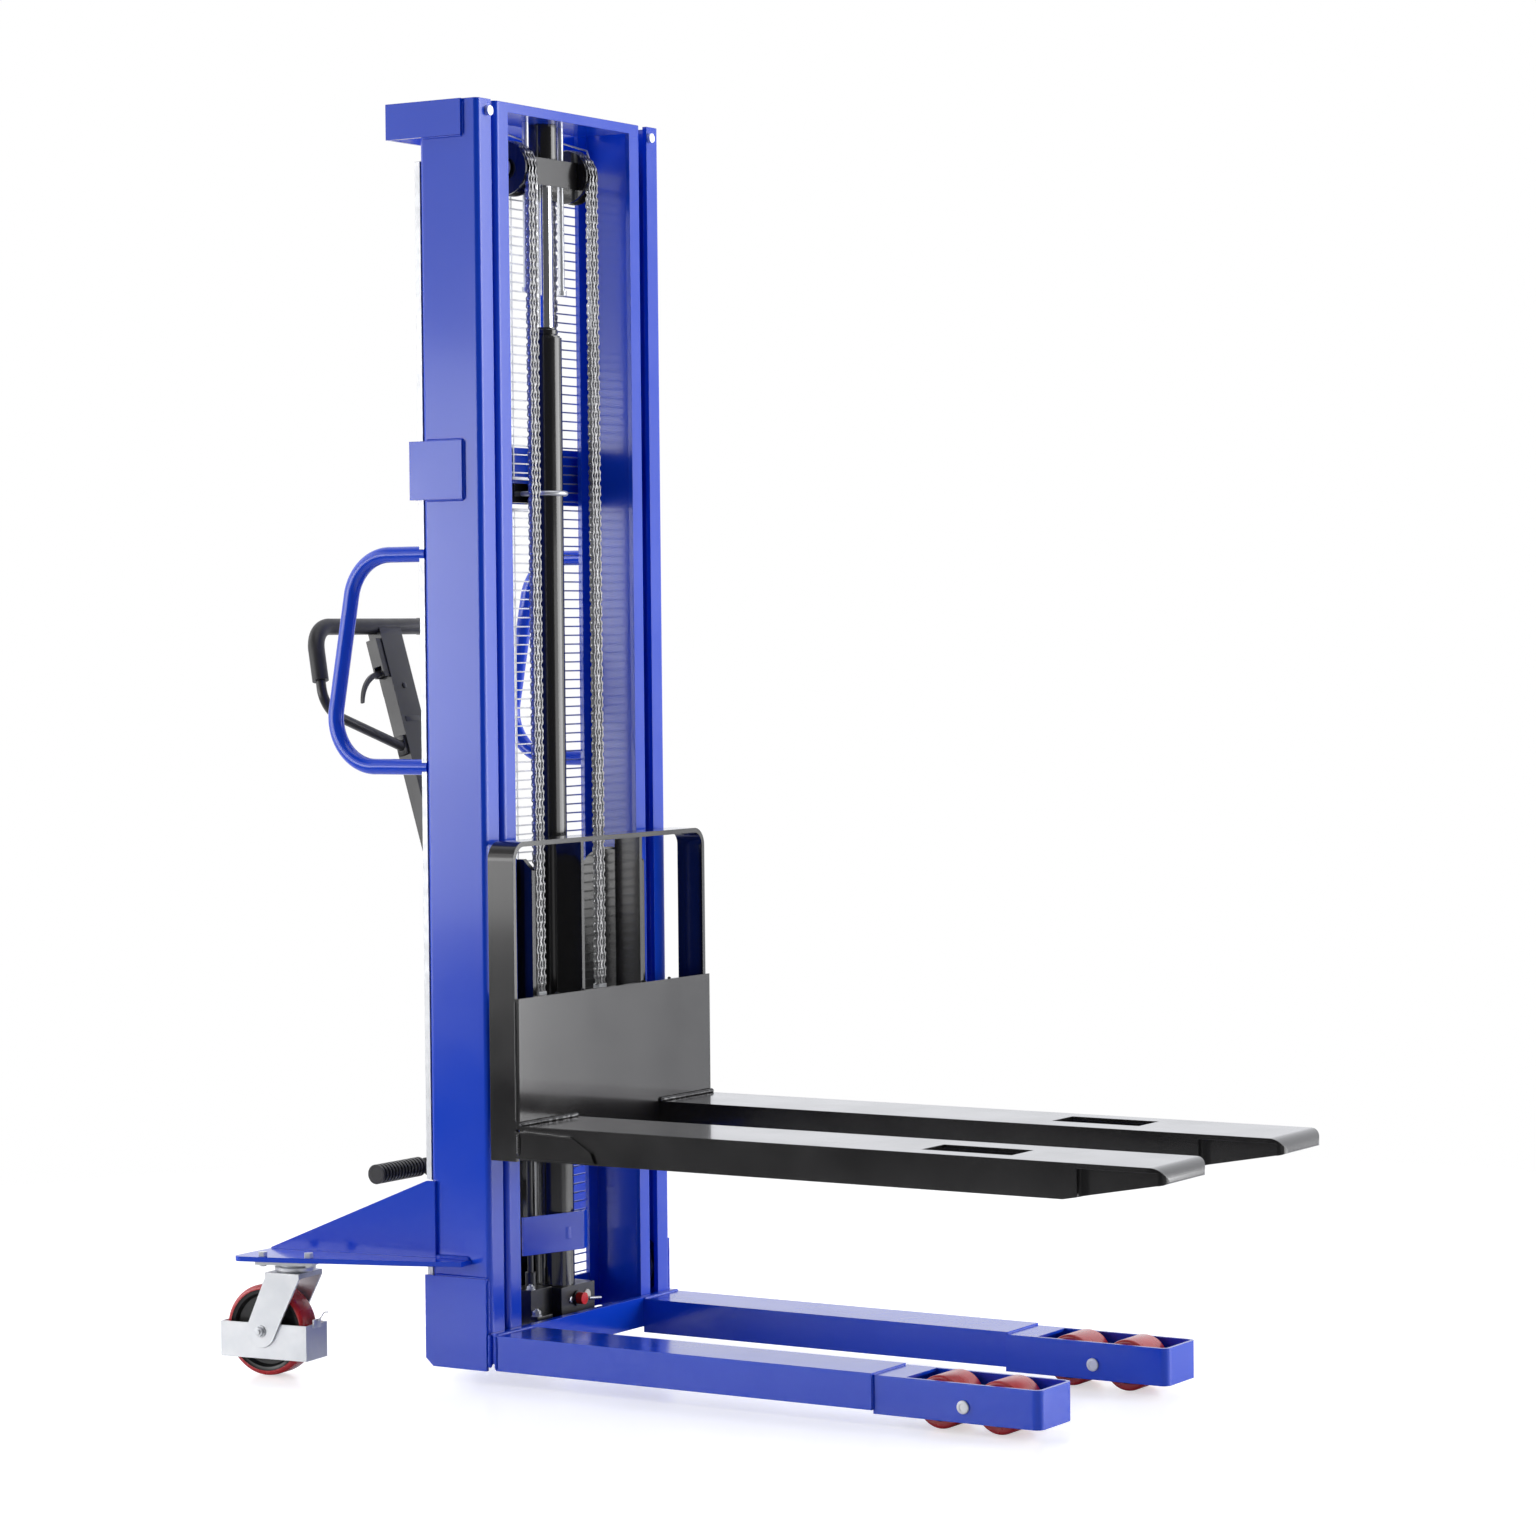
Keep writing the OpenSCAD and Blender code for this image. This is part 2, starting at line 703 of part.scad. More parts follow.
// Inner mast: two channels, a top plate that the crosshead lifts, and a lower tie
module inner_mast() {
    tie_t = 5;
    tie_h = 60;
    color(paint) difference() {
        union() {
            both() translate([0, 0, inner_foot_z]) linear_extrude(mast_h - inner_foot_z)
                channel_section(-inner_step, inner_d, inner_y, inner_flange_w, channel_t, channel_r);
            box([-inner_step - 98, -inner_tip_y, top_plate_z], [-inner_step, inner_tip_y, mast_h]);
            box([-inner_step - inner_d, -inner_tip_y, inner_foot_z],
                [-inner_step - inner_d + tie_t, inner_tip_y, inner_foot_z + tie_h]);
            both() bar_y(mid_x, inner_roller_z, axle_r, inner_y - channel_t, inner_y + 7);
            both() bar_y(mid_x, inner_roller_z, 10, inner_y - channel_t, web_y - 6);
        }
        for (s = [-1, 1]) translate([barrel_x, s * guide_side, top_plate_z - cut])
            cylinder(d = guide_d, h = top_plate_t + 2 * cut);
    }
}

// Guide rods that hang from the top plate, with nuts above and pins below
module guide_rods() {
    color(steel) both() translate([barrel_x, guide_side, 0]) {
        translate([0, 0, guide_low_z]) cylinder(d = guide_d, h = mast_h - guide_low_z);
        translate([0, 0, mast_h]) cylinder(r = 10, h = 3, $fn = 6);
        translate([0, 0, guide_low_z]) cylinder(r = guide_d / 2 + 3, h = 8);
    }
}

module inner_mast_rollers() {
    r = channel_d / 2 - channel_t - roller_gap / 2;
    color(dark) both() difference() {
        bar_y(mid_x, inner_roller_z, r, inner_y + 8, web_y - 6);
        bar_y(mid_x, inner_roller_z, 10 + pin_gap, inner_y, web_y);
    }
}

// Crosshead: block on the piston rod with stub axles for the chain wheels and the lifting post
module crosshead() {
    half_d = 25;
    color("gray") difference() {
        union() {
            box([wheel_x - half_d, -crosshead_half, crosshead_low_z],
                [wheel_x + half_d, crosshead_half, crosshead_top_z]);
            both() bar_y(wheel_x, wheel_axis_z, stub_r, crosshead_half, chain_side + chain_wheel_w / 2 + 1);
            both() bar_y(wheel_x, wheel_axis_z, stub_r + 5, chain_side + chain_wheel_w / 2 + 1,
                chain_side + chain_wheel_w / 2 + 5);
            translate([barrel_x, 0, crosshead_top_z])
                cylinder(r = post_r, h = top_plate_z - crosshead_top_z - slide_gap);
        }
        for (s = [-1, 1]) translate([barrel_x, s * guide_side, crosshead_low_z - cut])
            cylinder(r = guide_d / 2 + pin_gap, h = crosshead_h + 2 * cut);
    }
}

module piston_rod() {
    color("whitesmoke") translate([barrel_x, 0, 0]) {
        translate([0, 0, piston_z]) cylinder(d = rod_d, h = crosshead_low_z - piston_z);
        translate([0, 0, piston_z - 30]) cylinder(d = barrel_bore - 2 * pin_gap, h = 30);
    }
}

// Chain that lies over each chain wheel
module chain_wraps() {
    color("gray") both() translate([wheel_x, chain_side + chain_w / 2, wheel_axis_z]) rotate([90, 0, 0])
        rotate_extrude(angle = 180) translate([groove_d / 2 + slide_gap, 0]) square([chain_t, chain_w]);
}

module chain_wheel() {
    bore = stub_r + pin_gap;
    lip = (chain_wheel_w - chain_w) / 2 - 0.5;
    color(black) translate([wheel_x, chain_side + chain_wheel_w / 2, wheel_axis_z]) rotate([90, 0, 0])
        rotate_extrude() polygon([[bore, 0], [chain_wheel_r, 0], [chain_wheel_r, lip], [groove_d / 2, lip],
            [groove_d / 2, chain_wheel_w - lip], [chain_wheel_r, chain_wheel_w - lip],
            [chain_wheel_r, chain_wheel_w], [bore, chain_wheel_w]]);
}

// Clevises that end the front runs of the chains
module chain_clevises() {
    color(steel) both() box([chain_front_x - 6, chain_side - 11, clevis_low_z],
        [chain_front_x + 6, chain_side + 11, clevis_top_z]);
}

// Threaded rods between the clevises and the carriage
module chain_anchor_rods() {
    color(steel) both() translate([chain_front_x, chain_side, rod_anchor_z])
        cylinder(r = 6, h = clevis_low_z - rod_anchor_z);
}

// Carriage frame: bent flat bar with round corners, two uprights, a lower tie and the chain anchors
module carriage_frame() {
    top = carriage_top_z;
    r = carriage_corner_r;
    module arch(grow) {
        w = carriage_half + grow;
        rr = r + grow;
        low = carriage_low_z - (grow < 0 ? cut : 0);
        translate([-w, low]) square([2 * w, top + grow - rr - low]);
        translate([-w + rr, low]) square([2 * w - 2 * rr, top + grow - low]);
        for (s = [-1, 1]) translate([s * (w - rr), top + grow - rr]) circle(rr);
    }
    color(dark) union() {
        translate([frame_back_x, 0, 0]) rotate([90, 0, 90]) linear_extrude(bar_d) difference() {
            arch(0);
            arch(-bar_t);
        }
        both() box([frame_back_x, upright_y - bar_t, rod_anchor_z - anchor_plate_t],
            [apron_back_x, upright_y, top - bar_t]);
        box([frame_back_x, -roller_plate_y, fork_z],
            [apron_back_x, roller_plate_y, rod_anchor_z - anchor_plate_t]);
        both() box([chain_front_x - 12, upright_y - 18, rod_anchor_z - anchor_plate_t],
            [frame_back_x + cut, upright_y + 10, rod_anchor_z]);
    }
}

module apron_plate() {
    color(dark) union() {
        box([apron_back_x, -carriage_half, fork_z - fork_t], [apron_front_x, carriage_half, apron_top_z]);
        box([apron_back_x, -fork_in, fork_low_z], [apron_front_x, fork_in, fork_z]);
    }
}

// Plates with the stub axles of the carriage rollers, which run inside the inner mast
module roller_plates() {
    back = mid_x - roller_plate_back;
    clear = fork_z - 5;
    top = upper_roller_z + roller_plate_back;
    front = 21;
    color(dark) both() difference() {
        union() {
            plate_xz(roller_plate_y, roller_plate_t) polygon([[back, lower_roller_z - 55],
                [-8, lower_roller_z - 55], [-8, clear], [apron_back_x, clear],
                [apron_back_x, apron_top_z - 6], [front, apron_top_z - 6], [front, top - 18],
                [front - 18, top], [mid_x, top], [back, upper_roller_z]]);
            bar_y(mid_x, upper_roller_z, roller_plate_back, roller_plate_y,
                roller_plate_y + roller_plate_t);
            for (z = [upper_roller_z, lower_roller_z])
                bar_y(mid_x, z, axle_r, roller_plate_y + cut, inner_y - channel_t - 3);
        }
        for (z = [upper_roller_z, lower_roller_z])
            bar_y(mid_x, z, 6, roller_plate_y - cut, roller_plate_y + 4);
    }
}

module carriage_roller(z) {
    color(dark) both() difference() {
        bar_y(mid_x, z, carriage_roller_r, inner_y - channel_t - 1 - carriage_roller_w,
            inner_y - channel_t - 1);
        bar_y(mid_x, z, axle_r + pin_gap, inner_tip_y - 20, inner_y);
    }
}

// Side view of a fork: flat top with a rounded nose, tapered under the tip
module fork_side(inset) {
    x0 = apron_front_x - (inset > 0 ? cut : 0);
    low = fork_low_z - (inset > 0 ? cut : 0);
    tip = fork_reach - inset;
    top = fork_z - inset;
    r = tip_nose_r - inset;
    nose_low = fork_z - tip_nose_h + inset;
    polygon([[x0, low], [fork_reach - taper_l, low], [tip - 4, nose_low], [tip, nose_low + 2],
        [tip, top - r], [tip - r, top - r], [tip - r, top], [x0, top]]);
    intersection() {
        translate([tip - r, top - r]) circle(r);
        translate([tip - r - cut, top - r - cut]) square(r + 2 * cut);
    }
}

// Plan of a fork: parallel sides and a straight end with round corners
module fork_plan(inset) {
    x0 = apron_front_x - (inset > 0 ? cut : 0);
    mid = (fork_in + fork_out) / 2;
    half = fork_w / 2 - inset;
    tip = fork_reach - inset;
    r = tip_round - inset;
    translate([x0, mid - half]) square([tip - r - x0, 2 * half]);
    translate([tip - r - cut, mid - half + r]) square([r + cut, 2 * half - 2 * r]);
    for (s = [-1, 1]) translate([tip - r, mid + s * (half - r)]) circle(r);
}

// Strips along both sides of a fork tip, under its top edge, to the depth given
module tip_strips(depth, front) {
    mid = (fork_in + fork_out) / 2;
    back = tip_recess_x + tip_recess - depth;
    for (s = [-1, 1]) translate([0, mid + s * fork_w / 2]) {
        translate([back, -depth]) square([front - back, 2 * depth]);
        translate([back, 0]) circle(depth);
    }
}

// Fork: pressed plate open below, with a cut-out over the load rollers and a heel plate
module fork() {
    color(dark) union() {
        difference() {
            intersection() {
                plate_xz(fork_in, fork_w) fork_side(0);
                translate([0, 0, fork_low_z - cut]) linear_extrude(fork_h + 2 * cut) fork_plan(0);
            }
            intersection() {
                plate_xz(fork_in, fork_w) fork_side(fork_t);
                translate([0, 0, fork_low_z - 2 * cut]) linear_extrude(fork_h + 3 * cut) difference() {
                    fork_plan(fork_t);
                    tip_strips(tip_recess + fork_t, fork_reach);
                }
            }
            translate([0, 0, fork_low_z - cut]) linear_extrude(fork_h + cut - tip_lip)
                tip_strips(tip_recess, fork_reach - 10);
            box([cut_out_x, cut_out_y - cut_out_w / 2, fork_z - 2 * fork_t],
                [cut_out_x + cut_out_l, cut_out_y + cut_out_w / 2, fork_z + cut]);
        }
        plate_xz(fork_out, 5) polygon([[apron_back_x, fork_low_z + 3], [222, fork_low_z + 3],
            [215, fork_low_z + 20], [179, fork_low_z + 42], [apron_back_x, fork_low_z + 46]]);
    }
}

// Tiller frame: origin at the pivot, Z along the arm
module tiller_frame() {
    translate([tiller_x, 0, tiller_z]) rotate([0, -tiller_lean, 0]) children();
}

// Corners of one side of the tiller loop, in the plane of the arm: foot, bend, grip end and grip corner
loop_foot = [arm_w / 2 - 2, tiller_l - 215];
loop_bend = [218, tiller_l - 145];
grip_corner = [192, tiller_l];
grip_end = grip_corner + (loop_bend - grip_corner) * 0.65;

// Tiller arm with its loop rods, its pivot boss and the nose that presses the plunger
module tiller_arm() {
    bore = tiller_axle_r + pin_gap;
    color(black) difference() {
        union() {
            tiller_frame() {
                box([-arm_d / 2, -arm_w / 2, 0], [arm_d / 2, arm_w / 2, tiller_l - 4]);
                for (s = [-1, 1]) rotate([90, 0, 90]) scale_side(s)
                    bent_rod([loop_foot, loop_bend, grip_end], 45, loop_d);
                box([-11, -arm_w / 2 - 14, trigger_z + 12], [11, -arm_w / 2 + cut, tiller_l - 24]);
                for (s = [-1, 1]) translate([s * 9.2, 0, 0])
                    box([-1.8, -arm_w / 2 - 14, trigger_z - 7], [1.8, -arm_w / 2 + cut, trigger_z + 13]);
            }
            bar_y(tiller_x, tiller_z, tiller_axle_r + 8, -arm_w / 2, arm_w / 2);
            plate_xz(-12, 24) polygon([[tiller_x, tiller_z + 10], [plunger_x, tiller_z + nose_r - 1],
                [plunger_x, tiller_z - nose_r + 2], [tiller_x, tiller_z - 10]]);
            bar_y(plunger_x, tiller_z, nose_r, -12, 12);
        }
        bar_y(tiller_x, tiller_z, bore, -arm_w, arm_w);
        tiller_frame() bar_y(0, tiller_l, (grip_d - bend_step) / 2, -arm_w, arm_w);
        tiller_frame() bar_x(trigger_y, trigger_z, trigger_pin_r + pin_gap, -20, 20);
    }
}

// One side of the loop as it is, or across the middle plane
module scale_side(s) {
    mirror([s < 0 ? 1 : 0, 0, 0]) children();
}

// Grip over the top bar and both upper bends of the loop
module tiller_grip() {
    other_end = [-grip_end.x, grip_end.y];
    other_corner = [-grip_corner.x, grip_corner.y];
    color("darkgray") tiller_frame() rotate([90, 0, 90])
        bent_rod([grip_end, grip_corner, other_corner, other_end], 50, grip_d);
}

// Release trigger: curved lever on a pin between two ears of the arm
module release_trigger() {
    bend_r = 77;
    taper = 4.8;
    color(black) tiller_frame() translate([0, trigger_y, trigger_z]) {
        bar_x(0, 0, trigger_pin_r, -11, 11);
        bar_x(0, 0, 6, -7, 7);
        translate([-3, 0, 0]) rotate([90, 0, 90]) linear_extrude(6) translate([0, -bend_r]) rotate(92)
            intersection() {
                difference() {
                    translate([taper, 0]) circle(bend_r);
                    translate([-taper, 0]) circle(bend_r);
                }
                polygon([[0, 0], [200, 0], [200, 200], [200 * cos(68), 200 * sin(68)]]);
            }
    }
}

module pump_plunger() {
    top = tiller_z - nose_r - slide_gap;
    color(steel) translate([plunger_x, 0, 0]) {
        translate([0, 0, 135]) cylinder(r = plunger_r, h = top - 135 - 6);
        translate([0, 0, top - 6]) cylinder(r = 14, h = 6);
    }
}

// Foot pedal: lever, cross bar and ribbed rubber grip
module foot_pedal() {
    ribs = 14;
    y_in = -pedal_lever_y;
    y_grip = -68;
    color(black) {
        difference() {
            union() {
                bar_y(pedal_pivot.x, pedal_pivot.y, 16, y_in - pedal_lever_t, y_in);
                bar_y(pedal_bar.x, pedal_bar.y, 13, y_in - pedal_lever_t, y_in);
                plate_xz(y_in - pedal_lever_t, pedal_lever_t) polygon([pedal_pivot + [-7, -12],
                    pedal_pivot + [7, 12], pedal_bar + [7, 11], pedal_bar + [-7, -11]]);
                bar_y(pedal_bar.x, pedal_bar.y, 8, y_grip - pedal_l, y_in);
            }
            bar_y(pedal_pivot.x, pedal_pivot.y, pedal_pin_r + pin_gap, y_in - 2 * pedal_lever_t, y_in + cut);
        }
        difference() {
            union() {
                bar_y(pedal_bar.x, pedal_bar.y, pedal_d / 2 - 3.5, y_grip - pedal_l, y_grip);
                for (i = [0:ribs - 1]) bar_y(pedal_bar.x, pedal_bar.y, pedal_d / 2,
                    y_grip - pedal_l + i * pedal_l / ribs, y_grip - pedal_l + (i + 0.55) * pedal_l / ribs);
            }
            bar_y(pedal_bar.x, pedal_bar.y, 8, y_grip - pedal_l + 4, y_grip + cut);
        }
    }
}

module valve_knob() {
    bore = 4 + pin_gap;
    color(red) difference() {
        bar_x(valve_y, valve_z, 10, -15.7, -4);
        bar_x(valve_y, valve_z, bore, -17, -11);
    }
}

// Caster frame: origin on the floor under the swivel, X forward along the turned caster
module caster_frame() {
    translate([swivel_x, swivel_side, 0]) rotate([0, 0, -caster_turn]) children();
}

// Swivel caster without its wheel: top plate, bearing, fork legs, toe guard and axle
module caster() {
    axle_x = -caster_trail;
    axle_z = caster_axle_z;
    leg_y = caster_half;
    yoke_top = caster_top_z - 13;
    yoke_low = yoke_top - 8;
    guard_low = 35;
    guard_h = 58;
    color(steel) caster_frame() {
        translate([0, 0, yoke_top - cut]) cylinder(r = 28, h = 13 - slide_gap + cut);
        box([-36, -leg_y - caster_leg_t, yoke_low], [29, leg_y + caster_leg_t, yoke_top]);
        both() plate_xz(leg_y, caster_leg_t) {
            polygon([[-36, yoke_low], [-36, yoke_top], [29, yoke_top], [29, yoke_low],
                [axle_x + 25, axle_z - 10], [axle_x - 25, axle_z + 10]]);
            translate([axle_x, axle_z]) circle(27);
        }
        bar_y(axle_x, axle_z, 6, -leg_y - caster_leg_t - 6, leg_y + caster_leg_t + 6);
        translate([axle_x + guard_ahead, 0, guard_low]) difference() {
            box([-guard_l / 2, -leg_y, 0], [guard_l / 2, leg_y, guard_h]);
            box([-guard_l / 2 + 3, -leg_y + 3, -cut], [guard_l / 2 - 3, leg_y - 3, guard_h + cut]);
            bar_y(-guard_ahead, axle_z - guard_low, 6, -leg_y - cut, leg_y + cut);
        }
    }
}

module caster_wheel() {
    tread_t = 9;
    r = wheel_d / 2;
    w = wheel_w / 2;
    caster_frame() translate([-caster_trail, 0, caster_axle_z]) {
        color(red) difference() {
            bar_y(0, 0, r, -w, w);
            bar_y(0, 0, r - tread_t, -w - cut, w + cut);
        }
        color(black) difference() {
            bar_y(0, 0, r - tread_t, -w + 1, w - 1);
            bar_y(0, 0, 6 + pin_gap, -w - cut, w + cut);
            for (s = [-1, 1]) translate([0, s * (w + 3), 0]) rotate([90, 0, 0]) difference() {
                cylinder(r = r - tread_t - 8, h = 20, center = true);
                cylinder(r = 22, h = 21, center = true);
            }
        }
    }
}

// Bogie: side plates and roller pins, rocking on a bolt in each wall of the roller box
module bogie() {
    half_l = bogie_pitch / 2;
    color(steel) translate([0, box_y, 0]) {
        for (s = [-1, 1]) difference() {
            plate_xz(s > 0 ? bogie_half : -bogie_half - bogie_plate_t, bogie_plate_t) {
                translate([bogie_x - half_l, roller_z - 16]) square([bogie_pitch, 32]);
                for (a = [-1, 1]) translate([bogie_x + a * half_l, roller_z]) circle(16);
            }
            bar_y(bogie_x, roller_z, bogie_bore_r, -box_w, box_w);
        }
        for (a = [-1, 1]) bar_y(bogie_x + a * half_l, roller_z, 7,
            -bogie_half - bogie_plate_t - 1, bogie_half + bogie_plate_t + 1);
    }
}

// Load roller: red tread on a black hub, behind the bogie bolt or in front of it
module load_roller(a) {
    tread_t = 14;
    r = roller_d / 2;
    translate([bogie_x + a * bogie_pitch / 2, box_y - roller_w / 2, roller_z]) rotate([-90, 0, 0]) {
        color(red) difference() {
            cylinder(r = r, h = roller_w);
            translate([0, 0, -cut]) cylinder(r = r - tread_t, h = roller_w + 2 * cut);
        }
        color(black) difference() {
            translate([0, 0, 1]) cylinder(r = r - tread_t, h = roller_w - 2);
            translate([0, 0, -cut]) cylinder(r = 7 + pin_gap, h = roller_w + 2 * cut);
        }
    }
}

// Moves the layout so that the origin is under the middle of the outline
module placed() {
    translate([-(fork_reach + guard_rear_x) / 2, 0, -sink]) children();
}

placed() near() outer_channel();  // outer_channel_near
placed() outer_channel();  // outer_channel_far
placed() top_bracket();
placed() mid_bracket();
placed() both() base_side_plate();  // base_side_plates
placed() front_cross_plate();
placed() floor_plate();
placed() near() straddle_leg();  // straddle_leg_near
placed() straddle_leg();  // straddle_leg_far
placed() near() roller_box();  // roller_box_near
placed() roller_box();  // roller_box_far
placed() near() outrigger();  // outrigger_near
placed() outrigger();  // outrigger_far
placed() near() push_handle();  // push_handle_near
placed() push_handle();  // push_handle_far
placed() rear_guard();
placed() frame_bolts();
placed() slide_pads();
placed() lift_cylinder();
placed() cylinder_bracket();
placed() pump_cover_plate();
placed() pump_block();
placed() tiller_bracket();
placed() chain_base_anchors();
placed() chain_rear_lower();
placed() inner_mast();
placed() guide_rods();
placed() chain_rear_upper();
placed() inner_mast_rollers();
placed() crosshead();
placed() piston_rod();
placed() chain_wraps();
placed() near() chain_wheel();  // chain_wheel_near
placed() chain_wheel();  // chain_wheel_far
placed() chain_front_runs();
placed() chain_clevises();
placed() carriage_frame();
placed() apron_plate();
placed() roller_plates();
placed() near() fork();  // fork_near
placed() fork();  // fork_far
placed() chain_anchor_rods();
placed() carriage_roller(upper_roller_z);  // carriage_rollers_upper
placed() carriage_roller(lower_roller_z);  // carriage_rollers_lower
placed() tiller_arm();
placed() tiller_grip();
placed() release_trigger();
placed() pump_plunger();
placed() foot_pedal();
placed() valve_knob();
placed() near() caster();  // caster_near
placed() caster();  // caster_far
placed() near() caster_wheel();  // caster_wheel_near
placed() caster_wheel();  // caster_wheel_far
placed() near() bogie();  // bogie_near
placed() bogie();  // bogie_far
placed() near() load_roller(-1);  // load_roller_near_rear
placed() near() load_roller(1);  // load_roller_near_front
placed() load_roller(-1);  // load_roller_far_rear
placed() load_roller(1);  // load_roller_far_front
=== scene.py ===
"""Look of the hand pallet stacker: camera, light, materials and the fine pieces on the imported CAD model."""

import json
import math

import bmesh
import bpy
from mathutils import Matrix, Vector, noise

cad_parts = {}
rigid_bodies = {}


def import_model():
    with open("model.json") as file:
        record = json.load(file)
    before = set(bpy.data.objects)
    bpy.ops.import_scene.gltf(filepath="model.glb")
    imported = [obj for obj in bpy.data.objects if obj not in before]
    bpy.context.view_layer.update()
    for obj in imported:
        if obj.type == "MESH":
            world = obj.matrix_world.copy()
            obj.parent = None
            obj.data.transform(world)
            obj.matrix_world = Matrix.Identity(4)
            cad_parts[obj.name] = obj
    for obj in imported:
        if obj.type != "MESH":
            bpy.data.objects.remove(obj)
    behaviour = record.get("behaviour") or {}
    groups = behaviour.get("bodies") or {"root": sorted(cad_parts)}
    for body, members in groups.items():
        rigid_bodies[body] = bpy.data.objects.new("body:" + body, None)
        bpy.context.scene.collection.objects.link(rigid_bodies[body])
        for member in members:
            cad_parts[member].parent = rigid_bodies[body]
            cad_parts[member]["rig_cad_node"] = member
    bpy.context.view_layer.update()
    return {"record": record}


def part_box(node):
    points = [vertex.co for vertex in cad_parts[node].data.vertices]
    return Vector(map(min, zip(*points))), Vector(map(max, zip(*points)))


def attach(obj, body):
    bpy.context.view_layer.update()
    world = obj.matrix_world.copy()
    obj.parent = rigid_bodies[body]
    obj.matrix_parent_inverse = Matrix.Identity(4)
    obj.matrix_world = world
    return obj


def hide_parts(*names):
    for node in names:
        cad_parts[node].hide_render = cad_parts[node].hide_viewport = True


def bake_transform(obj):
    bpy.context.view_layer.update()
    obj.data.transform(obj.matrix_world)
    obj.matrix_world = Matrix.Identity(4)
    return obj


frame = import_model()

MM = 0.001
# The record's origin is under the middle of the outline; positions here count from the mast's front face.
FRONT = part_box("outer_channel_near")[1][0]
SINK = 5.4  # height of the floor above the level from which heights are counted, in mm
PITCH = 12.7  # of the lift chains, in mm


def at(x, y, z):
    """A point given in mm from the mast's front face, the middle plane and the zero level."""
    return Vector((FRONT + x * MM, y * MM, (z - SINK) * MM))


def box_mm(node):
    """Lowest and highest corner of a CAD node in the same mm."""
    lo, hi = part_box(node)
    return [[(c[0] - FRONT) / MM, c[1] / MM, c[2] / MM + SINK] for c in (lo, hi)]


def joint(name):
    """A joint of the record."""
    return next(j for j in frame["record"]["behaviour"]["joints"] if j["name"] == name)


def sides():
    """Name and sign of the near and the far side."""
    return ("near", -1), ("far", 1)


# Camera: fitted to the edges of the photograph
FOCAL_PX = 4184
FRAME_PX = 1536
FLOOR_R = 3.2  # in m
FLOOR_GLOW = 0.55  # added to the lit floor where the camera sees it
YAW, TILT, ROLL = math.radians(32.02), math.radians(1.82), math.radians(-0.54)
CAMERA_AT = (3960.4, -5735.4, 1213.0)
SENSOR_MM = 36


def make_camera():
    back = Vector((math.sin(YAW) * math.cos(TILT), -math.cos(YAW) * math.cos(TILT), math.sin(TILT)))
    right = Vector((math.cos(YAW), math.sin(YAW), 0))
    up = back.cross(right)
    right, up = (
        math.cos(ROLL) * right + math.sin(ROLL) * up,
        -math.sin(ROLL) * right + math.cos(ROLL) * up,
    )
    data = bpy.data.cameras.new("camera")
    data.sensor_width = SENSOR_MM
    data.lens = FOCAL_PX / FRAME_PX * SENSOR_MM
    data.clip_end = 100
    camera = bpy.data.objects.new("camera", data)
    bpy.context.scene.collection.objects.link(camera)
    turn = Matrix((right, up, back)).transposed().to_4x4()
    camera.matrix_world = Matrix.Translation(at(*CAMERA_AT)) @ turn
    bpy.context.scene.camera = camera


def area_light(name, where, target, size, power, colour=(1, 1, 1)):
    data = bpy.data.lights.new(name, "AREA")
    data.shape = "RECTANGLE"
    data.size, data.size_y = size
    data.energy = power
    data.color = colour
    light = bpy.data.objects.new(name, data)
    bpy.context.scene.collection.objects.link(light)
    light.location = where
    light.rotation_euler = (Vector(target) - Vector(where)).to_track_quat("-Z", "Y").to_euler()


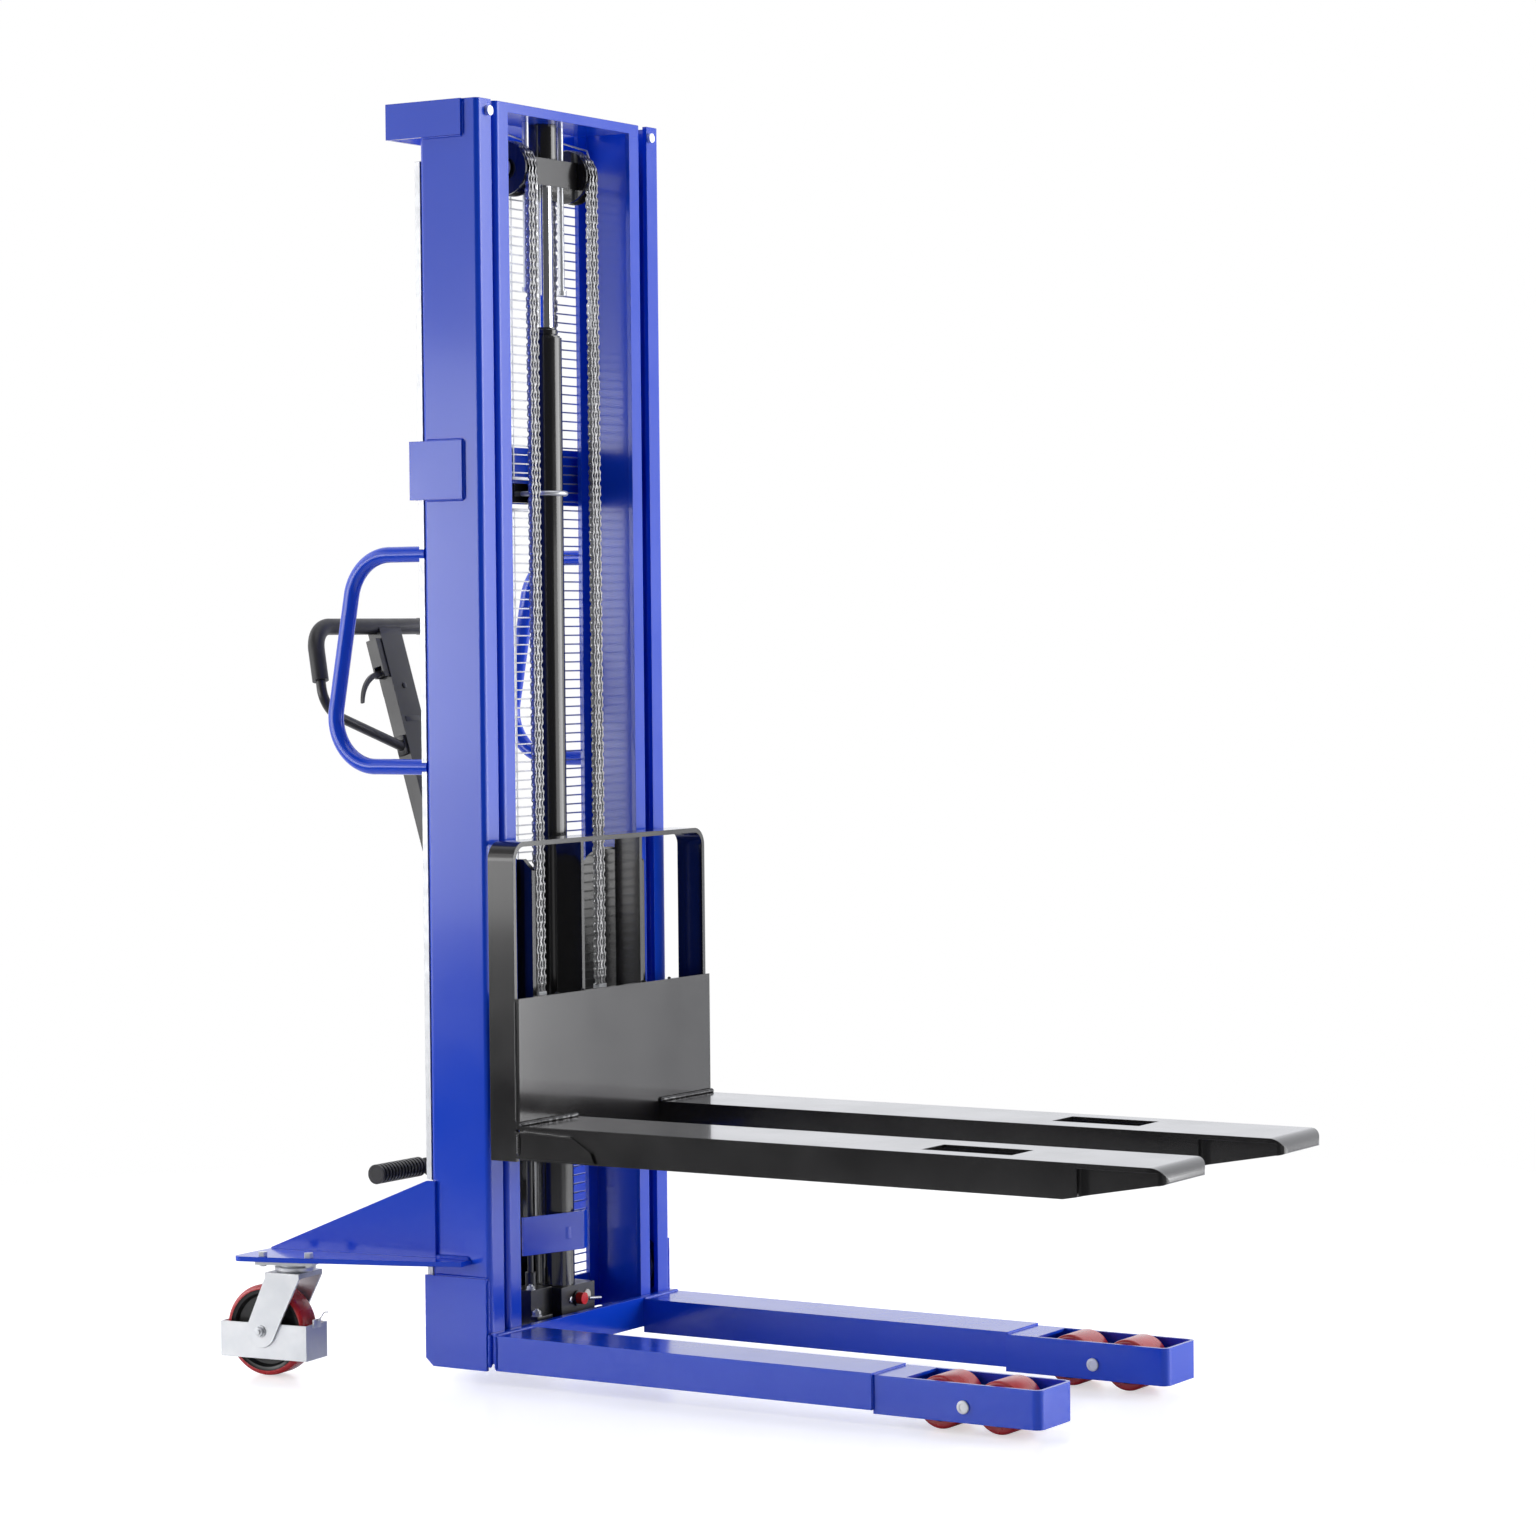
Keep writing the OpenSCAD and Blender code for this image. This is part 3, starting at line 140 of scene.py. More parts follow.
def make_light():
    """White studio: bright backdrop behind the object, dim room in front, large softboxes around."""
    area_light("softbox_rear_right", (4.8, 3.6, 1.6), (0, 0, 1.0), (4.0, 3.8), 215)
    area_light("softbox_front_left", (-3.6, -5.0, 2.6), (0, 0, 1.4), (4.4, 3.6), 58)
    area_light("softbox_left_low", (-4.5, -3.2, 0.9), (0, 0, 0.6), (3.0, 1.6), 32)
    area_light("softbox_near", (-3.2, -4.45, 1.2), (0, 0, 1.0), (3.0, 1.6), 40)
    area_light("softbox_left_high", (-4.8, -2.0, 3.2), (0, 0, 1.0), (3.0, 3.0), 30)
    area_light("softbox_right_low", (5.5, 0.5, 0.8), (0, 0, 0.6), (3.0, 1.4), 25)
    area_light("softbox_top", (0.4, -0.4, 4.8), (0, 0, 0), (3.6, 3.0), 45)
    world = bpy.data.worlds.new("studio")
    bpy.context.scene.world = world
    world.use_nodes = True
    nodes, links = world.node_tree.nodes, world.node_tree.links
    nodes.clear()
    out = nodes.new("ShaderNodeOutputWorld")
    mix = nodes.new("ShaderNodeMixShader")
    path = nodes.new("ShaderNodeLightPath")
    seen = nodes.new("ShaderNodeMath")
    seen.operation = "MAXIMUM"
    white = nodes.new("ShaderNodeBackground")
    white.inputs["Color"].default_value = (1, 1, 1, 1)
    white.inputs["Strength"].default_value = 1.0
    soft = nodes.new("ShaderNodeBackground")
    soft.inputs["Color"].default_value = (0.95, 0.96, 1, 1)
    where = nodes.new("ShaderNodeTexCoord")
    facing = nodes.new("ShaderNodeVectorMath")
    facing.operation = "DOT_PRODUCT"
    facing.inputs[1].default_value = (-math.sin(YAW), math.cos(YAW), 0)
    ramp = nodes.new("ShaderNodeMapRange")
    ramp.interpolation_type = "SMOOTHSTEP"
    ramp.inputs["From Min"].default_value = -0.25
    ramp.inputs["From Max"].default_value = 0.55
    ramp.inputs["To Min"].default_value = 0.1
    ramp.inputs["To Max"].default_value = 1.12
    links.new(where.outputs["Generated"], facing.inputs[0])
    links.new(facing.outputs["Value"], ramp.inputs["Value"])
    links.new(ramp.outputs["Result"], soft.inputs["Strength"])
    links.new(path.outputs["Is Camera Ray"], seen.inputs[0])
    links.new(path.outputs["Is Transmission Ray"], seen.inputs[1])
    links.new(seen.outputs[0], mix.inputs[0])
    links.new(soft.outputs[0], mix.inputs[1])
    links.new(white.outputs[0], mix.inputs[2])
    links.new(mix.outputs[0], out.inputs[0])
    scene = bpy.context.scene
    scene.view_settings.view_transform = "Standard"
    bpy.ops.mesh.primitive_circle_add(vertices=96, radius=FLOOR_R, fill_type="NGON", location=(0, 0, -0.0005))
    floor = bpy.context.object
    floor.name = "floor"
    floor.data.materials.append(floor_material())


# Materials


class Shader:
    """A node material built around one Principled shader."""

    def __init__(self, name):
        self.material = bpy.data.materials.new(name)
        self.material.use_nodes = True
        self.nodes, self.links = self.material.node_tree.nodes, self.material.node_tree.links
        self.bsdf = self.nodes["Principled BSDF"]
        self.where = self.nodes.new("ShaderNodeTexCoord").outputs["Object"]

    def set(self, **values):
        for key, value in values.items():
            self.bsdf.inputs[key.replace("_", " ")].default_value = value
        return self

    def noise(self, scale, detail=3.0, stretch=None):
        node = self.nodes.new("ShaderNodeTexNoise")
        node.inputs["Scale"].default_value = scale
        node.inputs["Detail"].default_value = detail
        source = self.where
        if stretch:
            mapping = self.nodes.new("ShaderNodeMapping")
            mapping.inputs["Scale"].default_value = stretch
            self.links.new(source, mapping.inputs["Vector"])
            source = mapping.outputs[0]
        self.links.new(source, node.inputs["Vector"])
        return node.outputs["Fac"]

    def spread(self, value, low, high, start=0.3, end=0.7):
        node = self.nodes.new("ShaderNodeMapRange")
        node.inputs["From Min"].default_value = start
        node.inputs["From Max"].default_value = end
        node.inputs["To Min"].default_value = low
        node.inputs["To Max"].default_value = high
        self.links.new(value, node.inputs["Value"])
        return node.outputs["Result"]

    def colours(self, value, first, second):
        node = self.nodes.new("ShaderNodeMix")
        node.data_type = "RGBA"
        node.inputs["A"].default_value = (*first, 1)
        node.inputs["B"].default_value = (*second, 1)
        self.links.new(value, node.inputs["Factor"])
        self.links.new(node.outputs["Result"], self.bsdf.inputs["Base Color"])
        return self

    def rough(self, value, low, high):
        self.links.new(self.spread(value, low, high), self.bsdf.inputs["Roughness"])
        return self

    def bump(self, value, height, edge=0.0):
        node = self.nodes.new("ShaderNodeBump")
        node.inputs["Distance"].default_value = height
        node.inputs["Strength"].default_value = 1.0
        self.links.new(value, node.inputs["Height"])
        if edge:
            bevel = self.nodes.new("ShaderNodeBevel")
            bevel.samples = 4
            bevel.inputs["Radius"].default_value = edge
            self.links.new(bevel.outputs[0], node.inputs["Normal"])
        self.links.new(node.outputs["Normal"], self.bsdf.inputs["Normal"])
        return self


def paint(name, colour, shade, rough=(0.22, 0.34), coat=0.6, peel=0.00006, edge=0.0016):
    """Sprayed gloss paint with a faint orange peel."""
    s = Shader(name)
    s.set(Coat_Weight=coat, Coat_Roughness=0.08)
    s.colours(s.spread(s.noise(2.5, 2), 0, 1), colour, shade)
    s.rough(s.noise(9, 4), *rough)
    return s.bump(s.noise(420, 2), peel, edge).material


def metal(name, colour, shade, rough, stretch=None, scale=14, metallic=1.0, grain=0.00002, edge=0.0008):
    """Bare or plated metal with a blotchy or drawn finish."""
    s = Shader(name)
    s.set(Metallic=metallic)
    s.colours(s.spread(s.noise(scale, 5, stretch), 0, 1), colour, shade)
    s.rough(s.noise(scale * 2.5, 4, stretch), *rough)
    return s.bump(s.noise(700, 3, stretch), grain, edge).material


def moulded(name, colour, shade, rough=(0.35, 0.5), grain=0.00008, scale=300, coat=0.0):
    """Moulded rubber or plastic with a fine grain."""
    s = Shader(name)
    s.set(Coat_Weight=coat, Coat_Roughness=0.15)
    s.colours(s.spread(s.noise(22, 4), 0, 1), colour, shade)
    s.rough(s.noise(30, 4), *rough)
    return s.bump(s.noise(scale, 4), grain, 0.0006).material


def floor_material():
    """White floor lit from below as on a light table, fading out before its rim."""
    s = Shader("floor_white")
    s.colours(s.noise(3, 2), (0.84, 0.84, 0.843), (0.86, 0.86, 0.86))
    s.rough(s.noise(5, 2), 0.22, 0.3)
    s.set(Emission_Color=(1, 1, 1, 1))
    path = s.nodes.new("ShaderNodeLightPath")
    glow = s.nodes.new("ShaderNodeMath")
    glow.operation = "MULTIPLY"
    glow.inputs[1].default_value = FLOOR_GLOW
    s.links.new(path.outputs["Is Camera Ray"], glow.inputs[0])
    s.links.new(glow.outputs[0], s.bsdf.inputs["Emission Strength"])
    clear = s.nodes.new("ShaderNodeBsdfTransparent")
    mix = s.nodes.new("ShaderNodeMixShader")
    length = s.nodes.new("ShaderNodeVectorMath")
    length.operation = "LENGTH"
    s.links.new(s.where, length.inputs[0])
    s.links.new(s.spread(length.outputs["Value"], 0, 1, FLOOR_R * 0.42, FLOOR_R * 0.95), mix.inputs[0])
    s.links.new(s.bsdf.outputs[0], mix.inputs[1])
    s.links.new(clear.outputs[0], mix.inputs[2])
    s.links.new(mix.outputs[0], s.nodes["Material Output"].inputs["Surface"])
    return s.material


BLUE = paint("blue_gloss", (0.002, 0.062, 0.72), (0.004, 0.07, 0.77), (0.16, 0.22), 0.3, 0.00002)
BLACK = paint("black_gloss", (0.008, 0.0075, 0.0078), (0.012, 0.0115, 0.012), (0.16, 0.24), 0.7, 0.00003)
HANDLE = paint("black_satin", (0.02, 0.019, 0.02), (0.028, 0.027, 0.028), (0.35, 0.5), 0.3, 0.0001)
IRON = paint("pump_black", (0.012, 0.012, 0.013), (0.02, 0.02, 0.021), (0.3, 0.5), 0.4, 0.0002)
WHEEL_IRON = paint("wheel_black", (0.01, 0.01, 0.011), (0.016, 0.016, 0.017), (0.35, 0.5), 0.2, 0.00015)
GRIP = moulded("grip_rubber", (0.03, 0.029, 0.03), (0.045, 0.043, 0.044))
RUBBER = moulded("pedal_rubber", (0.035, 0.032, 0.034), (0.055, 0.05, 0.053), (0.5, 0.65), 0.00012)
TREAD = moulded("red_tread", (0.5, 0.012, 0.02), (0.62, 0.02, 0.028), (0.22, 0.36), 0.00004, 260, 0.4)
HUB = moulded("black_hub", (0.012, 0.012, 0.012), (0.02, 0.02, 0.02), (0.3, 0.45), 0.00006)
PAD = moulded("slide_pad", (0.78, 0.76, 0.7), (0.7, 0.68, 0.62))
KNOB = moulded("red_knob", (0.75, 0.015, 0.012), (0.82, 0.03, 0.02), (0.2, 0.3), 0.00003, 200, 0.5)
ZINC = metal("zinc_plate", (0.80, 0.81, 0.83), (0.70, 0.72, 0.75), (0.3, 0.44), None, 22, 0.75)
STEEL = metal("machined_steel", (0.55, 0.56, 0.58), (0.4, 0.41, 0.43), (0.25, 0.4), (1, 1, 14), 18)
CHROME = metal("chrome_rod", (0.86, 0.87, 0.89), (0.8, 0.81, 0.83), (0.08, 0.14), (1, 1, 0.2), 10)
WIRE = metal("galvanised_wire", (0.72, 0.73, 0.75), (0.6, 0.61, 0.63), (0.35, 0.5), None, 40, 0.75)
LINK = metal("chain_plate", (0.3, 0.3, 0.305), (0.44, 0.44, 0.445), (0.26, 0.38), None, 60, 0.85)
# Grey metal for the black-painted fork heel weld: a painted highlight along the bead.
BEAD_HIGHLIGHT = metal("bead_painted_highlight", (0.06, 0.06, 0.062), (0.16, 0.16, 0.164), (0.12, 0.22), None, 160, 0.8)
PIN = metal("chain_pin", (0.78, 0.78, 0.79), (0.62, 0.62, 0.63), (0.22, 0.32), None, 80)

CAD_MATERIALS = {
    "blue_paint": BLUE,
    "black_paint": BLACK,
    "black_handle": HANDLE,
    "grip_plastic": GRIP,
    "pump_iron": IRON,
    "guard_wire": WIRE,
    "zinc_steel": ZINC,
    "chain_steel": LINK,
    "grey_steel": BLACK,
    "chrome_rod": CHROME,
    "slide_plastic": PAD,
    "red_plastic": KNOB,
    "red_tread": TREAD,
}


def dress_cad():
    slots = {p["node"]: p["material_slot"] for p in frame["record"]["subparts"]}
    for obj in bpy.context.scene.objects:
        node = obj.get("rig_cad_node")
        if node:
            for slot in obj.material_slots:
                slot.material = CAD_MATERIALS[slots[node]]


# Mesh helpers


def piece(name, bm, body, materials, smooth=30):
    """Finish a bmesh as a piece that rides on a body."""
    bmesh.ops.recalc_face_normals(bm, faces=bm.faces)
    mesh = bpy.data.meshes.new(name)
    bm.to_mesh(mesh)
    bm.free()
    for material in materials if isinstance(materials, (list, tuple)) else [materials]:
        mesh.materials.append(material)
    mesh.shade_smooth()
    mesh.set_sharp_from_angle(angle=math.radians(smooth))
    obj = bpy.data.objects.new(name, mesh)
    bpy.context.scene.collection.objects.link(obj)
    if body:
        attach(obj, body)
    return obj


def lathe(bm, profile, centre, axis, steps=48, material=0):
    """Turn a profile of (along, radius) in mm round an axis through centre."""
    axis = Vector(axis).normalized()
    side = axis.orthogonal().normalized()
    other = axis.cross(side)
    rings = []
    for along, radius in profile:
        ring = []
        for i in range(steps):
            a = 2 * math.pi * i / steps
            out = side * math.cos(a) + other * math.sin(a)
            ring.append(bm.verts.new(centre + axis * along * MM + out * radius * MM))
        rings.append(ring)
    for low, high in zip(rings, rings[1:]):
        for i in range(steps):
            face = bm.faces.new((low[i], low[(i + 1) % steps], high[(i + 1) % steps], high[i]))
            face.material_index = material
    return rings


def cap(bm, ring, material=0):
    face = bm.faces.new(ring)
    face.material_index = material


def turned(name, profile, centre, axis, body, materials, steps=48, smooth=30):
    bm = bmesh.new()
    rings = lathe(bm, profile, centre, axis, steps)
    for ring in (rings[0], rings[-1]):
        cap(bm, ring)
    return piece(name, bm, body, materials, smooth)


def sweep(bm, points, radius, steps=8, ripple=None):
    """Round tube along points; ripple(i) scales the radius at point i."""
    rings = []
    side = None
    turns = [2 * math.pi * k / steps for k in range(steps)]
    for i, p in enumerate(points):
        ahead = (points[min(i + 1, len(points) - 1)] - points[max(i - 1, 0)]).normalized()
        side = (side - ahead * side.dot(ahead)).normalized() if side else ahead.orthogonal().normalized()
        other = ahead.cross(side)
        r = radius * MM * (ripple(i) if ripple else 1)
        rings.append([bm.verts.new(p + (side * math.cos(t) + other * math.sin(t)) * r) for t in turns])
    for low, high in zip(rings, rings[1:]):
        for k in range(steps):
            bm.faces.new((low[k], low[(k + 1) % steps], high[(k + 1) % steps], high[k]))
    bm.faces.new(rings[0])
    bm.faces.new(rings[-1])


def rod(name, points, radius, body, material, steps=12):
    bm = bmesh.new()
    sweep(bm, [Vector(p) for p in points], radius, steps)
    return piece(name, bm, body, material, 60)


def smooth_path(points, per=8):
    """Catmull-Rom curve through points."""
    pts = [Vector(p) for p in points]
    pts = [2 * pts[0] - pts[1]] + pts + [2 * pts[-1] - pts[-2]]
    out = []
    for a, b, c, d in zip(pts, pts[1:], pts[2:], pts[3:]):
        for k in range(per):
            t = k / per
            square, cube = 2 * a - 5 * b + 4 * c - d, 3 * b - a - 3 * c + d
            out.append(0.5 * (2 * b + (c - a) * t + square * t * t + cube * t**3))
    return out + [pts[-2]]


def weld(name, runs, body, radius=2.6, material=None):
    """Fillet welds: rippled beads along straight runs given by their end points."""
    bm = bmesh.new()
    step = 1.3 * MM
    for n, (a, b) in enumerate(runs):
        a, b = Vector(a), Vector(b)
        count = max(4, int((b - a).length / step))
        points = []
        for i in range(count + 1):
            p = a.lerp(b, i / count)
            wander = noise.noise_vector(p * 90 + Vector((n, 0, 0))) * 0.5 * MM
            points.append(p + wander)

        def ripple(i, last=count, places=points):
            end = min(1, 0.35 + min(i, last - i) * 0.3)
            return end * (0.9 + 0.16 * math.sin(i * 2.1) + 0.12 * noise.noise(places[i] * 160))

        sweep(bm, points, radius, 8, ripple)
    return piece(name, bm, body, material or BLUE, 70)


def block(bm, centre, size, bevel=0.8, turn=None, material=0):
    """Box with rounded edges, size in mm, centre as a point."""
    made = bmesh.ops.create_cube(bm, size=1)
    verts = made["verts"]
    place = Matrix.Translation(centre) @ (turn or Matrix()) @ Matrix.Diagonal((*[s * MM for s in size], 1))
    bmesh.ops.transform(bm, matrix=place, verts=verts)
    edges = list({e for v in verts for e in v.link_edges})
    faces = {f for v in verts for f in v.link_faces}
    for f in faces:
        f.material_index = material
    bmesh.ops.bevel(bm, geom=edges, offset=bevel * MM, segments=2, affect="EDGES", profile=0.6)


def hex_bolt(bm, head, axis, across, thick, washer=1.35, material=0):
    """Washer, chamfered hexagon and domed stub, standing on the point head along axis."""
    ring = across * 0.5 * washer
    lathe_caps(bm, [(0, ring), (1.2, ring), (1.4, ring - 0.3)], head, axis, 24, material)
    r = across * 0.5 * 1.12
    lathe_caps(bm, [(1.4, r), (1.4 + thick * 0.8, r), (1.4 + thick, r * 0.86)], head, axis, 6, material)
    top = 1.4 + thick
    lathe_caps(bm, [(top, r * 0.5), (top + 2, r * 0.5), (top + 2.8, r * 0.4)], head, axis, 16, material)


def lathe_caps(bm, profile, centre, axis, steps, material=0):
    rings = lathe(bm, profile, centre, axis, steps, material)
    cap(bm, rings[0], material)
    cap(bm, rings[-1], material)


# Lift chains

PLATE_T = 1.9
WIDE = (-11.2, -3.6, 3.6, 11.2)  # plate places across the chain, one link
NARROW = (-8.6, -1.0, 1.0, 8.6)  # and the next


def plate_outline(half, r, waist, arc=5):
    """Points of a figure-of-eight plate, along the chain and through its thickness."""
    pts = []
    for k in range(-arc, arc + 1):
        a = math.pi / 2 * k / arc
        pts.append((half + r * math.cos(a), r * math.sin(a)))
    pts.append((0, waist))
    for k in range(-arc, arc + 1):
        a = math.pi / 2 * k / arc
        pts.append((-half - r * math.cos(a), -r * math.sin(a)))
    pts.append((0, -waist))
    return pts


def chain(name, places):
    """Leaf chain along places: (point, direction along, direction outward) at each pin, all across Y."""
    bm = bmesh.new()
    outline = plate_outline(PITCH / 2, 4.6, 3.3)
    across = Vector((0, 1, 0))
    for i, (p, along, out) in enumerate(places):
        if i + 1 < len(places):
            q = places[i + 1][0]
            mid, direction = (p + q) / 2, (q - p).normalized()
            normal = direction.cross(across)
            for y in WIDE if i % 2 else NARROW:
                rings = []
                for s in (-0.5, 0.5):
                    face = mid + across * (y + s * PLATE_T) * MM
                    rings.append([bm.verts.new(face + (direction * a + normal * b) * MM) for a, b in outline])
                n = len(outline)
                for k in range(n):
                    bm.faces.new((rings[0][k], rings[0][(k + 1) % n], rings[1][(k + 1) % n], rings[1][k]))
                bm.faces.new(rings[0])
                bm.faces.new(rings[1])
        lathe_caps(bm, [(-12.5, 1.5), (-12.3, 2.1), (12.3, 2.1), (12.5, 1.5)], p, across, 10, 1)
    return name, bm


def straight_places(x, y, z0, z1):
    count = round(abs(z1 - z0) / PITCH)
    up = Vector((0, 0, 1 if z1 > z0 else -1))
    return [(at(x, y, z0 + (z1 - z0) * i / count), up, Vector((1, 0, 0))) for i in range(count + 1)]


def make_chains():
    lo, hi = box_mm("chain_front_runs")
    front_x, top, low = (lo[0] + hi[0]) / 2, hi[2], lo[2]
    side = hi[1] - (hi[0] - lo[0]) * 1.25
    rlo, rhi = box_mm("chain_rear_lower")
    rear_x, anchor, split = (rlo[0] + rhi[0]) / 2, rlo[2], rhi[2]
    rod_low = box_mm("chain_anchor_rods")[0][2]
    rod_top = box_mm("chain_anchor_rods")[1][2]
    axis_x = (front_x + rear_x) / 2
    radius = (front_x - rear_x) / 2
    for which, y in (("near", -side), ("far", side)):
        name, bm = chain(f"chain_front_{which}", straight_places(front_x, y, top, low))
        run = piece(name, bm, None, [LINK, PIN], 40)
        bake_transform(run)
        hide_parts("chain_front_runs")
        name, bm = chain(f"chain_rear_low_{which}", straight_places(rear_x, y, anchor, split))
        run = piece(name, bm, None, [LINK, PIN], 40)
        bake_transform(run)
        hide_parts("chain_rear_lower")
        name, bm = chain(f"chain_rear_high_{which}", straight_places(rear_x, y, split, top))
        run = piece(name, bm, None, [LINK, PIN], 40)
        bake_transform(run)
        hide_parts("chain_rear_upper")
        links = round(math.pi * radius / PITCH)
        places = []
        for i in range(links + 1):
            a = math.pi * i / links
            out = Vector((math.cos(a), 0, math.sin(a)))
            places.append((at(axis_x, y, top) + out * radius * MM, None, out))
        name, bm = chain(f"chain_wrap_{which}", places)
        run = piece(name, bm, "crosshead", [LINK, PIN], 40)
        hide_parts("chain_wraps")
        profile = []
        turns = int((rod_top - rod_low) / 3)
        for i in range(turns):
            profile += [(i * 3, 5.2), (i * 3 + 1.5, 5.9)]
        profile.append((rod_top - rod_low, 5.2))
        bar = turned(f"chain_rod_{which}", profile, at(front_x, y, rod_low), (0, 0, 1), None, ZINC, 20, 60)
        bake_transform(bar)
        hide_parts("chain_anchor_rods")


# Wheels and rollers


def wheel_profile(width, tread_r, hub_r, crown):
    """Rounded tread from edge to edge, as (along, radius)."""
    half = width / 2
    pts = [(-half, hub_r)]
    for k in range(7):
        a = math.pi / 2 * k / 6
        pts.append((-half + crown * (1 - math.cos(a)), tread_r - crown * (1 - math.sin(a))))
    pts += [(-a, r) for a, r in reversed(pts)]
    return pts


def make_casters():
    for which, sign in sides():
        roll = joint(f"caster_{which}_roll")
        centre, axis = Vector(roll["pos_m"]), Vector(roll["axis"])
        radius = centre.z / MM
        bm = bmesh.new()
        width = 44
        lathe(bm, wheel_profile(width, radius, radius - 8, 7), centre, axis, 72, 0)
        hub_r = radius - 8
        edge = -width / 2
        hub = [(edge, hub_r), (edge + 1, hub_r - 1), (edge + 2, hub_r - 6), (edge + 9, hub_r - 10),
               (edge + 11, 26), (edge + 4, 22), (edge + 1.5, 20), (edge + 1.5, 7)]
        lathe(bm, hub, centre, axis, 72, 1)
        lathe(bm, [(-a, r) for a, r in hub], centre, axis, 72, 1)
        wheel = piece(f"caster_wheel_look_{which}", bm, f"caster_wheel_{which}", [TREAD, HUB], 35)
        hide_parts(f"caster_wheel_{which}")


def make_load_rollers():
    for which in ("near", "far"):
        for end in ("rear", "front"):
            node = f"load_roller_{which}_{end}"
            lo, hi = box_mm(node)
            centre = at((lo[0] + hi[0]) / 2, (lo[1] + hi[1]) / 2, (lo[2] + hi[2]) / 2)
            radius, width = (hi[0] - lo[0]) / 2, hi[1] - lo[1]
            bm = bmesh.new()
            lathe(bm, wheel_profile(width, radius, radius - 12, 5), centre, (0, 1, 0), 64, 0)
            hub_r = radius - 12
            half = width / 2
            hub = [(half, hub_r), (half - 1, hub_r - 1), (half - 3, hub_r - 4),
                   (half - 3, 15), (half - 0.5, 13), (half - 0.5, 7.2)]
            for s in (-1, 1):
                lathe(bm, [(s * a, r) for a, r in hub], centre, (0, 1, 0), 48, 1)
            roller = piece(f"{node}_look", bm, node, [TREAD, WHEEL_IRON], 35)
            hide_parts(node)


# Fine pieces on the CAD parts


def make_welds():
    tlo, thi = box_mm("top_bracket")
    mlo, mhi = box_mm("mid_bracket")
    clo, chi = box_mm("outer_channel_near")
    side = abs(clo[1])
    blo, bhi = box_mm("base_side_plates")
    leg_lo, leg_hi = box_mm("straddle_leg_near")
    box_lo, box_hi = box_mm("roller_box_near")
    alo, ahi = box_mm("apron_plate")
    rigger_z = box_mm("outrigger_near")[0][2] + 9
    for which, s in sides():
        y = s * (side + 0.6)
        weld(f"weld_top_bracket_{which}", [
            (at(thi[0] + 0.8, y, tlo[2] + 2), at(thi[0] + 0.8, y, thi[2] - 6)),
            (at(clo[0] + 6, y, tlo[2] - 0.8), at(thi[0], y, tlo[2] - 0.8)),
        ], "frame")
        weld(f"weld_mid_bracket_{which}", [
            (at(mhi[0] + 0.8, y, mlo[2] + 2), at(mhi[0] + 0.8, y, mhi[2] - 2)),
            (at(clo[0] + 8, y, mhi[2] + 0.8), at(mhi[0], y, mhi[2] + 0.8)),
            (at(clo[0] + 8, y, mlo[2] - 0.8), at(mhi[0], y, mlo[2] - 0.8)),
        ], "frame")
        weld(f"weld_outrigger_{which}", [
            (at(clo[0] + 4, s * (side + 2), rigger_z), at(-40, s * (side + 2), rigger_z)),
        ], "frame", 5.0)
        weld(f"weld_base_plate_{which}", [
            (at(bhi[0] + 0.6, y, leg_hi[2] + 4), at(bhi[0] + 0.6, y, bhi[2] - 2)),
            (at(clo[0] + 6, y, bhi[2] + 0.5), at(bhi[0] - 1, y, bhi[2] + 0.5)),
        ], "frame", 2.6)
        weld(f"weld_base_corner_{which}", [
            (at(-1, s * (side + 1.5), blo[2] + 6), at(-1, s * (side + 1.5), leg_hi[2] + 1)),
        ], "frame", 4.6)
        y_out, y_in = s * abs(leg_lo[1]), s * abs(leg_hi[1])
        root_x, joint_x = leg_lo[0] + 0.6, box_lo[0]
        weld(f"weld_leg_root_{which}", [
            (at(root_x, y_out * 0.999, leg_hi[2] + 0.4), at(root_x, y_in, leg_hi[2] + 0.4)),
            (at(root_x, y_out + s * 0.3, leg_lo[2] + 2), at(root_x, y_out + s * 0.3, leg_hi[2] - 1)),
        ], "frame", 3.0)
        weld(f"weld_roller_box_{which}", [
            (at(joint_x - 0.6, y_out - s * 6, box_hi[2] + 0.2), at(joint_x - 0.6, y_in + s * 2, box_hi[2] + 0.2)),
            (at(joint_x + 0.4, y_out - s * 3.2, box_lo[2] + 7), at(joint_x + 0.4, y_out - s * 3.2, box_hi[2] - 1)),
        ], "frame", 1.6)
        flo, fhi = box_mm(f"fork_{which}")
        y_f = sorted((abs(flo[1]), abs(fhi[1])))
        # The heel bead is black paint; its lighter grey metal material is a painted highlight.
        weld(f"weld_fork_heel_{which}", [
            (at(ahi[0] + 2.5, s * y_f[0], fhi[2] + 2.5), at(ahi[0] + 2.5, s * (y_f[1] - 3), fhi[2] + 2.5)),
        ], "carriage", 4.6, BEAD_HIGHLIGHT)
        weld(f"weld_fork_{which}", [
            (at(ahi[0] + 1, s * (y_f[1] + 0.5), flo[2] + 8), at(ahi[0] + 1, s * (y_f[1] + 0.5), flo[2] + 44)),
            (at(ahi[0] + 8, s * (y_f[1] - 4.6), flo[2] + 46.6), at(179, s * (y_f[1] - 4.6), flo[2] + 42.6)),
        ], "carriage", 3.6, BLACK)
        weld(f"weld_apron_{which}", [
            (at(ahi[0] - 7, s * (ahi[1] - 0.2), fhi[2] + 6), at(ahi[0] - 7, s * (ahi[1] - 0.2), ahi[2] - 3)),
            (at(alo[0] - 2, s * 90.5, ahi[2] + 0.6), at(ahi[0] - 3, s * 90.5, ahi[2] + 0.6)),
            (at(alo[0] - 1, s * 166, ahi[2] + 1.2), at(ahi[0] - 3, s * 166, ahi[2] + 1.2)),
        ], "carriage", 2.4, BLACK)


